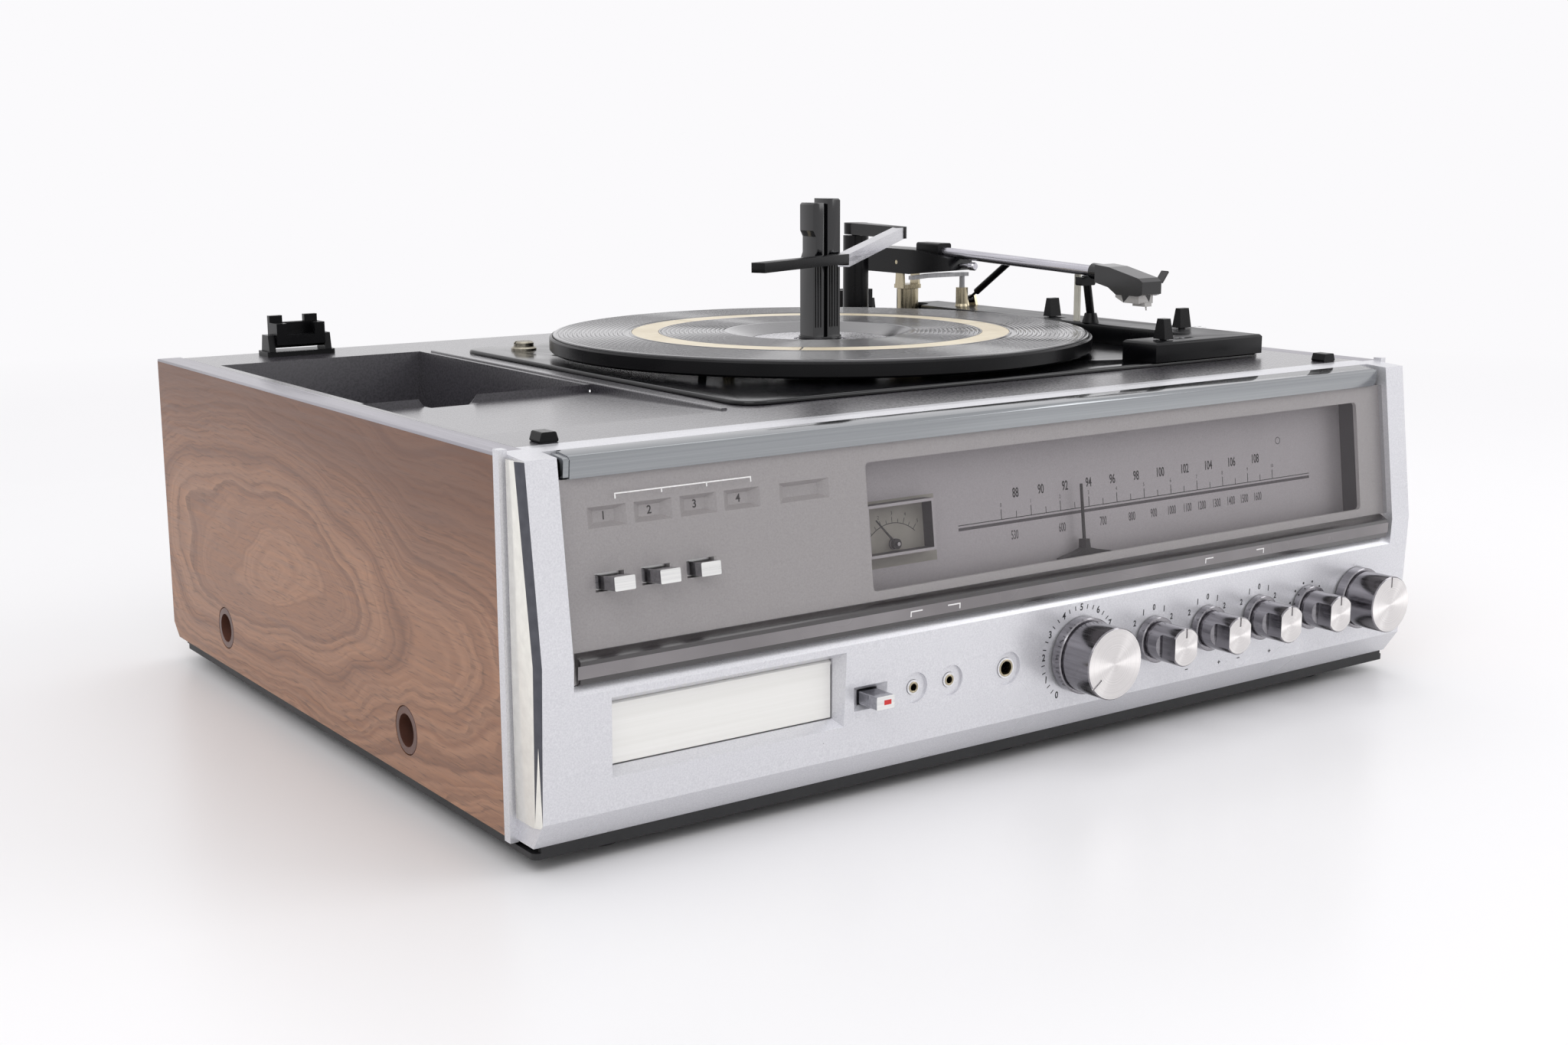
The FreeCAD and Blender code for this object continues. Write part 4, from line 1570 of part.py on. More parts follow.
def headshell():
    """Headshell: collar round the tube, tapering shell open below, and the finger lift."""
    z = tube_centre(TUBE_FRONT_Y)
    tube_dir = V(0, TUBE_FRONT_Y - ARM_Y, TUBE_FRONT_Z - TUBE_REAR_Z).normalize()
    start = V(ARM_X, TUBE_FRONT_Y + 8, tube_centre(TUBE_FRONT_Y + 8))
    collar = Part.makeCylinder(TUBE_R + 1.4, 8.0, start, tube_dir)
    side = [(TUBE_FRONT_Y, z + 4.4), (118, z + 3.6), (96, z - 1.2), (93, z - 3), (93, z - 9.5), (96, z - 10.5)]
    side += [(112, z - 10.5), (118, z - 7), (TUBE_FRONT_Y, z - 5)]
    shell = along_x(side, ARM_X - 7, ARM_X + 7)
    hollow = [(94.5, z - 12), (94.5, z - 4.2), (116, z + 1.4), (116, z - 12)]
    cavity = along_x(hollow, ARM_X - 5.6, ARM_X + 5.6)
    lift = [(6.8, z - 3.4), (13, z - 3.4), (17, z + 1.6), (17.6, z + 0.9), (13.3, z - 4.6), (6.8, z - 4.6)]
    finger = along_y([(ARM_X + x, h) for x, h in lift], 98.0, 103.0)
    tube = rod(start, start + tube_dir * 8.0, TUBE_R)
    return less(joined([collar, shell, finger]), [cavity, tube])


def cartridge():
    """Cartridge body with its stylus block and needle."""
    z = tube_centre(TUBE_FRONT_Y)
    side = [(97, z - 4.2), (114, z + 0.2), (114, z - 12), (108, z - 14.5), (97, z - 14.5)]
    body = along_x(side, ARM_X - 5.2, ARM_X + 5.2)
    shelf = block((ARM_X - 2.5, ARM_X + 2.5), (95.2, 104), (z - 16.0, z - 14.0))
    needle = rod(V(ARM_X, 97, z - 15.5), V(ARM_X, 96.4, z - 18.0), 0.4)
    hollow = [(94.5, z - 12), (94.5, z - 4.2), (116, z + 1.4), (116, z - 12)]
    inside = along_x(hollow, ARM_X - 5.6, ARM_X + 5.6)
    lower = block((ARM_X - 5.3, ARM_X + 5.3), (94.6, 115.9), (z - 20, z - 11.9))
    body = body.common(joined([inside, lower]))
    return joined([body, shelf, needle])


def cue_lever():
    """Cue lever: hub, wire and rubber sleeve in one."""
    hub = rod(V(CUE_X - 2.2, CUE_Y, CUE_Z), V(CUE_X + 2.2, CUE_Y, CUE_Z), 2.2)
    tip = V(CUE_X, CUE_TIP_Y, CUE_TIP_Z)
    start = V(CUE_X, CUE_Y, CUE_Z)
    way = (tip - start).normalize()
    wire = rod(start, tip, 0.8)
    grip = rod(start + way * 9.0, tip, 2.0)
    nose = Part.makeSphere(2.0, tip)
    bore = rod(V(CUE_X - 3, CUE_Y, CUE_Z), V(CUE_X + 3, CUE_Y, CUE_Z), 0.8 + RUN)
    return joined([hub, wire, grip, nose]).cut(bore)


def lift_bar():
    """Lift shaft with the curved bar that raises the tonearm."""
    top = LIFT_BAR_Z
    low = BLOCK_TOP_Z + LIFT_TRAVEL + GAP
    shaft = Part.makeCylinder(1.6, top - low, V(LIFT_X, LIFT_Y, low))
    outline = [(LIFT_X + 2.5, LIFT_Y - 3), (LIFT_X + 2.5, LIFT_Y + 3), (ARM_X - 12, LIFT_Y + 1.5)]
    outline += [(ARM_X - 30, LIFT_Y - 6), (ARM_X - 29, LIFT_Y - 9), (ARM_X - 12, LIFT_Y - 1.8)]
    bar = along_z(outline, top - 2.2, top)
    return joined([shaft, bar])


# ----------------------------------------------------- receiver and supply
def power_transformer():
    """Laminated core with bobbin, windings and mounting feet."""
    x0, y0 = -INNER + 13.5, BACK_Y - 93
    floor = BASE_FLOOR
    core = block((x0 + 10, x0 + 22), (y0, y0 + 62), (floor, floor + 52))
    rear = block((x0 + 22, x0 + 40), (y0, y0 + 62), (floor, floor + 52))
    bobbin = rounded(block((x0 + 2, x0 + 48), (y0 + 12, y0 + 50), (floor + 10, floor + 42)), 6.0, "y")
    feet_plate = block((x0 - 2, x0 + 52), (y0 + 4, y0 + 58), (floor, floor + 1.5))
    holes = []
    for x in (x0 + 2.5, x0 + 47.5):
        for y in (y0 + 10, y0 + 52):
            holes.append(Part.makeCylinder(2.0, 9.0, V(x, y, floor - 1)))
    return less(joined([core, rear, bobbin, feet_plate]), holes)


def circuit_board():
    """Main printed board with its larger components, and the tuning gang on its bracket."""
    z = BOARD_Z
    board = block(BOARD_X, BOARD_Y, (z, z + 1.6))
    holes = [Part.makeCylinder(1.6, 9.0, V(x, y, z - 1)) for x, y in board_posts()]
    top = z + 1.6
    sink = []
    fin = block((120, 220), (308, 310), (top, top + 40))
    sink += [moved(fin, y=6 * n) for n in range(4)]
    sink.append(block((120, 220), (308, 330), (top, top + 3)))
    cans = [Part.makeCylinder(11.0, 36.0, V(BOARD_X[0] + 30, 300 - 30 * n, top)) for n in range(3)]
    cans += [Part.makeCylinder(6.0, 16.0, V(20 + 26 * n, 250, top)) for n in range(4)]
    coils = slots((20, 32), (120, 132), (top, top + 15), 22.0, 5, 0)
    shield = block((140, 210), (90, 150), (top, top + 22))
    parts = [board, joined(sink), shield] + cans + coils
    x = DRUM_X
    back = DRUM_Y + DRUM_T + 3
    gang = block((x - GANG_W / 2, x + GANG_W / 2), (back, back + GANG_L), (DRUM_Z - 16, DRUM_Z + 14))
    plate = [(back, DRUM_Z + 8), (back - 2, DRUM_Z + 8), (back - 2, BASE_FLOOR), (back + 30, BASE_FLOOR)]
    plate += [(back + 30, BASE_FLOOR + 2), (back, BASE_FLOOR + 2)]
    bracket = along_x(plate, x - GANG_W / 2, x + GANG_W / 2)
    shaft_hole = Part.makeCylinder(DRUM_SHAFT_R + RUN, 20.0, V(x, back - 4, DRUM_Z), V(0, 1, 0))
    tuner = less(joined([gang, bracket]), [shaft_hole])
    return [less(joined([board] + parts[1:]), holes), tuner]


def tuning_drum():
    """Grooved cord drum on the tuning gang's shaft."""
    r = DRUM_R
    t = DRUM_T
    profile = [(0, 0), (7, 0), (7, t * 0.35), (r - 5, t * 0.35), (r - 5, 0), (r, 0), (r, 0.8), (r - 1.6, 2)]
    profile += [(r - 1.6, t - 2), (r, t - 0.8), (r, t), (r - 5, t), (r - 5, t * 0.65), (7, t * 0.65), (7, t)]
    profile += [(DRUM_SHAFT_R, t), (DRUM_SHAFT_R, t + 14), (0, t + 14)]
    drum = turned(profile)
    drum.rotate(V(0, 0, 0), V(1, 0, 0), -90)
    return moved(drum, DRUM_X, DRUM_Y, DRUM_Z)


def back_panel():
    """Back board with rows of cooling slots and holes for the rear fittings."""
    panel = block((-INNER, INNER), (BACK_Y, BACK_Y + BACK_T), (-BASE_DROP, DECK_UNDER))
    ys = (BACK_Y - 1, BACK_Y + BACK_T + 1)
    cutters = []
    for row in range(4):
        z = 66.0 + row * 17.0
        cutters += slots((-60, -54), ys, (z, z + 11), 12.0, 22, 0)
    for x in JACK_X:
        for z in JACK_Z:
            cutters.append(Part.makeCylinder(JACK_R + FIT, BACK_T + 2, V(x, BACK_Y - 1, z), V(0, 1, 0)))
    cutters.append(Part.makeCylinder(GLAND_R, BACK_T + 2, V(GLAND_X, BACK_Y - 1, GLAND_Z), V(0, 1, 0)))
    for x, z in back_screw_places():
        cutters.append(Part.makeCylinder(SCREW_R, BACK_T + 2, V(x, BACK_Y - 1, z), V(0, 1, 0)))
    return less(panel, cutters)


def rear_terminals():
    """Rear jacks, aerial terminal strip and the empty cord gland."""
    pieces = []
    back = BACK_Y + BACK_T
    for x in JACK_X:
        for z in JACK_Z:
            profile = [(0, -BACK_T - 8), (JACK_R, -BACK_T - 8), (JACK_R, 0), (JACK_R + 1.6, 0), (JACK_R + 1.6, 1.4)]
            profile += [(JACK_R - 0.2, 1.4), (JACK_R - 0.2, JACK_OUT), (1.7, JACK_OUT), (1.7, -4), (0, -4)]
            barrel = turned(profile)
            barrel.rotate(V(0, 0, 0), V(1, 0, 0), -90)
            pieces.append(moved(barrel, x, back, z))
    strip = block((TERMINAL_X - 24, TERMINAL_X + 24), (back, back + 3), (TERMINAL_Z - 7, TERMINAL_Z + 7))
    heads = []
    for n in range(4):
        x = TERMINAL_X - 18 + 12 * n
        heads.append(Part.makeCylinder(3.2, 2.2, V(x, back + 3, TERMINAL_Z), V(0, 1, 0)))
    strip = joined([rounded(strip, 1.0, "y")] + heads)
    cuts = [block((TERMINAL_X - 21.5 + 12 * n, TERMINAL_X - 14.5 + 12 * n), (back + 4.2, back + 6),
                  (TERMINAL_Z - 0.5, TERMINAL_Z + 0.5)) for n in range(4)]
    pieces.append(less(strip, cuts))
    profile = [(3.4, -BACK_T - 2), (GLAND_R + 1.2, -BACK_T - 2), (GLAND_R + 1.2, -BACK_T), (GLAND_R, -BACK_T)]
    profile += [(GLAND_R, 0), (GLAND_R + 2, 0), (GLAND_R + 2, 1.6), (5.4, 4.6), (3.4, 4.6)]
    gland = turned(profile)
    gland.rotate(V(0, 0, 0), V(1, 0, 0), -90)
    pieces.append(moved(gland, GLAND_X, back, GLAND_Z))
    return pieces


# ------------------------------------------------------------------- export
def all_nodes():
    """Every node's shape, or list of shapes, by name."""
    nodes = {"side_panels": side_boards(), "top_strips": top_strips(), "base_tray": base_tray()}
    nodes.update({"screw_cups": screw_cups(), "case_screws": case_screws() + transit_screw()})
    nodes.update({"feet": feet(), "front_frame": front_frame(), "cheek_trims": cheek_trims()})
    nodes.update({"chrome_bar": chrome_bar(), "dial_window": dial_window(), "fascia_plate": fascia_plate()})
    nodes.update({"dial_box": [dial_box(), tuning_meter()], "dial_pointer": dial_pointer()})
    nodes.update({"meter_needle": meter_needle(), "legend_ledge": legend_ledge(), "tape_door": tape_door()})
    nodes.update({"tape_chassis": [tape_tunnel()] + tape_chassis(), "record_button": record_button()})
    nodes.update({"capstan_flywheel": capstan_flywheel(), "motor_pulley": motor_pulley()})
    nodes["drive_motors"] = [tape_motor(), drive_belt(), changer_motor()]
    for index, name in enumerate(("program_button", "fast_forward_button", "pause_button")):
        nodes[name] = fascia_button(index)
    nodes["volume_knob"] = big_knob(VOLUME_X, VOLUME_R, VOLUME_SKIRT_R, -126)
    nodes["tuning_knob"] = big_knob(TUNING_X, TUNING_R, TUNING_SKIRT_R, 0)
    small = (("balance_knob", BALANCE_X), ("bass_knob", BASS_X), ("treble_knob", TREBLE_X))
    for name, x in small + (("selector_knob", SELECTOR_X),):
        nodes[name] = small_knob(x)
    nodes.update({"receiver_boards": front_controls() + circuit_board(), "top_deck": top_deck()})
    nodes["lid_fittings"] = hinge_bases() + lid_bumpers()
    nodes["hinge_socket_left"] = moved(hinge_socket(), x=-HINGE_X)
    nodes["hinge_socket_right"] = moved(hinge_socket(), x=HINGE_X)
    nodes.update({"changer_plate": changer_plate(), "control_block": control_block()})
    nodes["speed_lever"] = lever(SPEED_LEVER, "x")
    nodes["size_lever"] = lever(SIZE_LEVER, "y")
    nodes["reject_lever"] = lever(REJECT_LEVER, "y")
    nodes.update({"platter_bearing": platter_bearing(), "platter": [platter(), hub_disc()]})
    nodes.update({"platter_mat": [platter_mat(), mat_ring()], "spindle_adapter": spindle_adapter()})
    nodes.update({"idler_wheel": idler_wheel(), "changer_pulley": motor_pulley_steps()})
    nodes.update({"arm_posts": arm_posts(), "overarm": [overarm(), overarm_tip()], "overarm_link": overarm_link()})
    nodes.update({"tonearm_base": tonearm_base(), "tonearm_gimbal": tonearm_gimbal(), "arm_housing": arm_housing()})
    nodes.update({"arm_tube": arm_tube(), "headshell": [headshell(), cartridge()]})
    nodes.update({"cue_lever": cue_lever(), "lift_bar": lift_bar(), "power_transformer": power_transformer()})
    nodes.update({"tuning_drum": tuning_drum(), "back_panel": back_panel(), "rear_terminals": rear_terminals()})
    return nodes


def export():
    """Write one file per node."""
    os.makedirs("parts", exist_ok=True)
    for name, shape in all_nodes().items():
        solid = Part.makeCompound(shape) if isinstance(shape, list) else shape
        solid = moved(solid, *ORIGIN_SHIFT)
        solid.exportStep("parts/" + name + ".step")
        print(name, len(solid.Solids), round(solid.Volume, 1), solid.isValid())


export()
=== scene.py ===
import json
import math

import bmesh
import bpy
from mathutils import Matrix, Vector


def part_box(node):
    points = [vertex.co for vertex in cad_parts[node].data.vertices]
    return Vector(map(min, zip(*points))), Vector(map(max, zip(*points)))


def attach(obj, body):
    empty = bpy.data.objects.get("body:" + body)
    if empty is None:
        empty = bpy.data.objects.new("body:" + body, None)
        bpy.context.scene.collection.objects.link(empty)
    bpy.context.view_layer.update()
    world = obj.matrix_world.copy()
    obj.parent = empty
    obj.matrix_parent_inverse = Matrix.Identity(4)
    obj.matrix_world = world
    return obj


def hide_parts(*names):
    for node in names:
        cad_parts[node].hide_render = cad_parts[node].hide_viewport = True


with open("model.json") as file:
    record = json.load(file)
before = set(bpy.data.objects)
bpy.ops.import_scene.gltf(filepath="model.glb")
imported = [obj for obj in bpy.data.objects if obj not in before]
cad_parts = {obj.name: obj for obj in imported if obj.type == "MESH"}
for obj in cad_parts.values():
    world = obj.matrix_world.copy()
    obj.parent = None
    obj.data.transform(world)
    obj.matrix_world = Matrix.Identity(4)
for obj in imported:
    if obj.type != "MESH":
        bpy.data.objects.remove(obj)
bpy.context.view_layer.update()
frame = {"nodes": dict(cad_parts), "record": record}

# Lengths below are in millimetres in the cabinet's own frame: x from the middle, y from the
# side boards' front edge to the back, z from the boards' underside. at() turns them into metres.
MM = 0.001
SHIFT_Y = -164.315
SHIFT_Z = 12.0


def at(x, y, z):
    """Cabinet millimetres to frame metres."""
    return Vector((x * MM, (y + SHIFT_Y) * MM, (z + SHIFT_Z) * MM))


# The fascia behind the window leans back from its foot at the knee of the front.
KNEE_Y = -26.6
KNEE_Z = 69.6
TILT = math.radians(6.9065)
FASCIA_UP = Vector((0, math.sin(TILT), math.cos(TILT)))
FASCIA_OUT = Vector((0, -math.cos(TILT), math.sin(TILT)))

# Centres of the knobs and jacks on the front, and of the platter and the tonearm.
KNOB_X = {
    "volume_knob": 21.6, "balance_knob": 66.8, "bass_knob": 101.7, "treble_knob": 136.5,
    "selector_knob": 171.3, "tuning_knob": 206.2,
}
KNOB_Z = 33.5
JACKS = ((-71.0, 1.8), (-51.8, 1.8), (-20.3, 3.2))  # x, radius of the bore
SPINDLE = (36.0, 186.0)  # x, y
ARM_X = 181.0


def srgb(*values):
    """0-255 display values to linear RGBA."""
    linear = []
    for v in values:
        c = v / 255
        linear.append(c / 12.92 if c <= 0.04045 else ((c + 0.055) / 1.055) ** 2.4)
    return (*linear, 1.0)


# ------------------------------------------------------------------ camera
# Place and angles were solved from the straight edges of the cabinet in the photograph.
CAMERA_PLACE = (-0.5654, -0.7942, 0.2694)
YAW = math.radians(35.327)
PITCH = math.radians(-11.206)
ROLL = math.radians(-0.164)

scene = bpy.context.scene
camera_data = bpy.data.cameras.new("camera")
camera = bpy.data.objects.new("camera", camera_data)
scene.collection.objects.link(camera)
camera_data.sensor_width = 36.0
camera_data.lens = 45.06
camera_data.clip_start = 0.01
camera_data.clip_end = 50.0
turn = Matrix.Rotation(-YAW, 4, "Z") @ Matrix.Rotation(math.radians(90) + PITCH, 4, "X")
turn = turn @ Matrix.Rotation(ROLL, 4, "Z")
camera.matrix_world = Matrix.Translation(CAMERA_PLACE) @ turn
scene.camera = camera
scene.view_settings.view_transform = "Standard"

# ---------------------------------------------------------- world and lamps
WHITE = (1, 1, 1, 1)
SEEN = srgb(251, 250, 252)  # the pale background
WORLD_LIGHT = 0.8

world = bpy.data.worlds.new("studio")
scene.world = world
world.use_nodes = True
world.node_tree.nodes.clear()


def watching_rays(tree):
    """1 for camera, transmitted and glossy rays, which meet the pale background; 0 for others."""
    rays = tree.nodes.new("ShaderNodeLightPath").outputs
    found = rays["Is Camera Ray"]
    for kind in ("Is Transmission Ray", "Is Glossy Ray"):
        either = tree.nodes.new("ShaderNodeMath")
        either.operation = "MAXIMUM"
        tree.links.new(found, either.inputs[0])
        tree.links.new(rays[kind], either.inputs[1])
        found = either.outputs[0]
    return found


def light_world(tree):
    """Soft even light on the object, and the pale background where it is seen."""
    blend = tree.nodes.new("ShaderNodeMixShader")
    tree.links.new(watching_rays(tree), blend.inputs[0])
    for socket, colour, strength in ((1, WHITE, WORLD_LIGHT), (2, SEEN, 1.0)):
        part = tree.nodes.new("ShaderNodeBackground")
        part.inputs["Color"].default_value = colour
        part.inputs["Strength"].default_value = strength
        tree.links.new(part.outputs[0], blend.inputs[socket])
    tree.links.new(blend.outputs[0], tree.nodes.new("ShaderNodeOutputWorld").inputs[0])


light_world(world.node_tree)

LAMP_TARGET = Vector((0, 0, 0.1))
LAMPS = {  # side of the square in metres, power in watts, place
    "lamp_left": (1.4, 13.0, (-1.3, -1.2, 1.8)),
    "lamp_right": (1.4, 13.0, (1.7, -1.3, 1.3)),
    "lamp_top": (1.6, 8.0, (0.2, 0.5, 2.0)),
}
for name, (size, power, place) in LAMPS.items():
    lamp_data = bpy.data.lights.new(name, "AREA")
    lamp_data.shape = "SQUARE"
    lamp_data.size = size
    lamp_data.energy = power
    lamp = bpy.data.objects.new(name, lamp_data)
    lamp.location = place
    lamp.rotation_euler = (LAMP_TARGET - Vector(place)).to_track_quat("-Z", "Y").to_euler()
    scene.collection.objects.link(lamp)


# --------------------------------------------------------------- materials
class Shader:
    """A principled material whose nodes are added by name."""

    def __init__(self, name, colour, rough=0.5, metal=0.0, **sockets):
        self.mat = bpy.data.materials.new(name)
        self.mat.use_nodes = True
        self.tree = self.mat.node_tree
        self.bsdf = self.tree.nodes["Principled BSDF"]
        self.put(self.bsdf, {"Base Color": colour, "Roughness": rough, "Metallic": metal})
        self.put(self.bsdf, {k.replace("_", " "): v for k, v in sockets.items()})
        self.mat.diffuse_color = colour
        self.coord = self.tree.nodes.new("ShaderNodeTexCoord").outputs["Object"]

    def put(self, node, inputs):
        for key, value in inputs.items():
            if isinstance(value, bpy.types.NodeSocket):
                self.tree.links.new(value, node.inputs[key])
            else:
                node.inputs[key].default_value = value

    def node(self, kind, inputs=None, out=0, **props):
        made = self.tree.nodes.new("ShaderNode" + kind)
        for key, value in props.items():
            setattr(made, key, value)
        self.put(made, inputs or {})
        return made.outputs[out]

    def spread(self, scale):
        """Object coordinates with their own scale along each axis."""
        return self.node("Mapping", {"Vector": self.coord, "Scale": scale})

    def vector(self, kind, a, b=(0, 0, 0)):
        return self.node("VectorMath", {0: a, 1: b}, operation=kind)

    def length(self, vector):
        return self.node("VectorMath", {0: vector}, out=1, operation="LENGTH")

    def noise(self, scale, detail=3.0, rough=0.55, vector=None):
        inputs = {"Vector": vector or self.coord, "Scale": scale, "Detail": detail}
        inputs["Roughness"] = rough
        return self.node("TexNoise", inputs)

    def noise_along(self, distance, scale, detail, rough=0.5):
        """Noise that changes with one distance only, such as a radius."""
        inputs = {"W": distance, "Scale": scale, "Detail": detail, "Roughness": rough}
        return self.node("TexNoise", inputs, noise_dimensions="1D")

    def ramp(self, value, *stops):
        """Colour ramp; each stop is (position, colour)."""
        made = self.tree.nodes.new("ShaderNodeValToRGB")
        band = made.color_ramp
        while len(band.elements) < len(stops):
            band.elements.new(0.5)
        for element, (place, colour) in zip(band.elements, stops):
            element.position = place
            element.color = colour
        self.put(made, {"Fac": value})
        return made.outputs["Color"]

    def span(self, value, low, high, from_low=0.0, from_high=1.0):
        """A 0-1 value mapped to a range."""
        inputs = {"Value": value, "From Min": from_low, "From Max": from_high}
        inputs.update({"To Min": low, "To Max": high})
        return self.node("MapRange", inputs)

    def times(self, a, b):
        return self.node("Math", {0: a, 1: b}, operation="MULTIPLY")

    def mix(self, fac, a, b):
        """Colours mixed; 6, 7 and output 2 are the node's colour sockets."""
        return self.node("Mix", {0: fac, 6: a, 7: b}, out=2, data_type="RGBA")

    def bump(self, height, strength, distance):
        inputs = {"Height": height, "Strength": strength, "Distance": distance}
        self.put(self.bsdf, {"Normal": self.node("Bump", inputs)})

    def colour(self, value):
        self.put(self.bsdf, {"Base Color": value})

    def rough(self, value):
        self.put(self.bsdf, {"Roughness": value})


def grained(name, dark, light, rough, grain, depth, **sockets):
    """Moulded plastic: mottled colour, uneven sheen and a pebbled surface."""
    s = Shader(name, dark, rough, **sockets)
    s.colour(s.ramp(s.noise(55.0, 4.0), (0.3, dark), (0.7, light)))
    s.rough(s.span(s.noise(24.0, 3.0), rough - 0.06, rough + 0.06, 0.3, 0.7))
    pebbles = s.node("TexVoronoi", {"Vector": s.coord, "Scale": grain}, feature="SMOOTH_F1")
    s.bump(pebbles, 0.6, depth)
    return s.mat


def painted(name, dark, light, rough, metal, depth):
    """Sprayed metallic paint: fine flake and a faint orange peel."""
    s = Shader(name, dark, rough, metal)
    flake = s.noise(1500.0, 1.0)
    s.colour(s.ramp(flake, (0.2, dark), (0.8, light)))
    s.rough(s.span(s.noise(30.0, 2.0), rough - 0.04, rough + 0.05, 0.3, 0.7))
    s.bump(s.noise(500.0, 1.0), 0.08, depth)
    return s.mat


def brushed(name, dark, light, rough, scale, depth, metal):
    """Metal brushed along the axis whose scale is smallest."""
    s = Shader(name, dark, rough, metal)
    lines = s.noise(1.0, 4.0, 0.6, vector=s.spread(scale))
    s.colour(s.ramp(lines, (0.3, dark), (0.7, light)))
    s.rough(s.span(lines, rough - 0.06, rough + 0.08, 0.3, 0.7))
    s.bump(lines, 0.25, depth)
    return s.mat


EYE = at(0, 239.0, 59.0)
EYE_FLATTENED = (0, 0.31, 1)


def walnut():
    """Walnut veneer: an eye of wandering rings low at the back, darker streaks, open pores."""
    s = Shader("walnut", srgb(140, 102, 84), 0.42, Coat_Weight=0.12, Coat_Roughness=0.32)
    slow = {"Vector": s.spread((1, 6, 9)), "Scale": 1.0, "Detail": 2.0, "Roughness": 0.5}
    quick = {"Vector": s.spread((1, 40, 70)), "Scale": 1.0, "Detail": 2.0}
    swing = s.vector("SUBTRACT", s.node("TexNoise", slow, out=1), (0.5, 0.5, 0.5))
    swing = s.vector("MULTIPLY", swing, (0, 0.17, 0.07))
    quiver = s.vector("MULTIPLY", s.node("TexNoise", quick, out=1), (0, 0.018, 0.007))
    place = s.vector("ADD", s.vector("SUBTRACT", s.coord, EYE), swing)
    place = s.vector("ADD", place, quiver)
    radius = s.length(s.vector("MULTIPLY", place, EYE_FLATTENED))
    rings = s.noise_along(radius, 115.0, 3.0, 0.55)
    threads = s.noise_along(radius, 420.0, 1.0)
    fine = s.noise(1.0, 5.0, 0.65, vector=s.spread((60, 14, 420)))
    pores = s.noise(1.0, 2.0, 0.5, vector=s.spread((300, 90, 1500)))
    tone = s.ramp(
        rings,
        (0.30, srgb(110, 70, 48)), (0.44, srgb(146, 102, 75)),
        (0.60, srgb(172, 127, 98)), (0.74, srgb(128, 84, 59)),
    )
    tone = s.mix(0.38, tone, s.ramp(fine, (0.3, srgb(98, 64, 45)), (0.7, srgb(170, 126, 97))))
    thread = s.times(s.span(threads, 0.0, 0.5, 0.54, 0.68), s.span(fine, 0.2, 1.0, 0.4, 0.6))
    thread = s.times(thread, s.span(radius, 0.0, 1.0, 0.01, 0.03))
    tone = s.mix(thread, tone, srgb(82, 53, 38))
    tone = s.mix(s.span(pores, 0.0, 0.5, 0.56, 0.72), tone, srgb(72, 49, 39))
    height = s.node("SeparateXYZ", {"Vector": place}, out=2)
    s.colour(s.mix(s.span(height, 0.0, 0.75, 0.025, 0.08), tone, srgb(92, 54, 33)))
    s.rough(s.span(fine, 0.36, 0.5, 0.3, 0.7))
    s.bump(pores, 0.25, 0.00004)
    return s.mat


def polished_trim(name, tone, hazy, rough):
    """Polished trim: an even tone with a faint haze, mirrored by the shader; the darker tone on
    the cheek trims' front faces is a painted reflection.
    """
    s = Shader(name, tone, rough, 0.6)
    haze = s.noise(220.0, 3.0)
    s.colour(s.ramp(haze, (0.3, tone), (0.7, hazy)))
    s.rough(s.span(haze, rough - 0.03, rough + 0.04, 0.3, 0.7))
    return s.mat


def spun_face(name, dark, light, centre):
    """Face turned about an axis along Y through centre: fine rings that fan the light."""
    s = Shader(name, dark, 0.45, 1.0, Anisotropic=0.95)
    away = s.vector("MULTIPLY", s.vector("SUBTRACT", s.coord, centre), (1, 0, 1))
    around = s.vector("CROSS_PRODUCT", (0, 1, 0), away)
    s.put(s.bsdf, {"Tangent": s.vector("NORMALIZE", around)})
    rings = s.noise_along(s.length(away), 1800.0, 2.0)
    s.colour(s.ramp(rings, (0.3, dark), (0.7, light)))
    s.rough(s.span(rings, 0.41, 0.49, 0.3, 0.7))
    return s.mat


def deck_moulding():
    """Leather-grained black moulding: fine cells with paler tops."""
    s = Shader("deck_grain", srgb(46, 44, 51), 0.26, IOR=1.6, Coat_Weight=1.0, Coat_Roughness=0.3)
    cells = s.node("TexVoronoi", {"Vector": s.coord, "Scale": 1300.0}, feature="SMOOTH_F1")
    speckle = s.noise(900.0, 2.0)
    s.colour(s.ramp(speckle, (0.38, srgb(40, 38, 44)), (0.62, srgb(54, 51, 58))))
    s.rough(s.span(speckle, 0.24, 0.32, 0.35, 0.65))
    s.bump(cells, 0.5, 0.00003)
    return s.mat


def smoked_sheet():
    """Thin smoked plastic, clear enough to show the dial behind it."""
    s = Shader("smoked_sheet", srgb(96, 91, 94), 0.04, Alpha=0.17, IOR=1.6)
    s.rough(s.span(s.noise(18.0, 3.0), 0.02, 0.06, 0.3, 0.7))
    s.mat.surface_render_method = "BLENDED"
    return s.mat


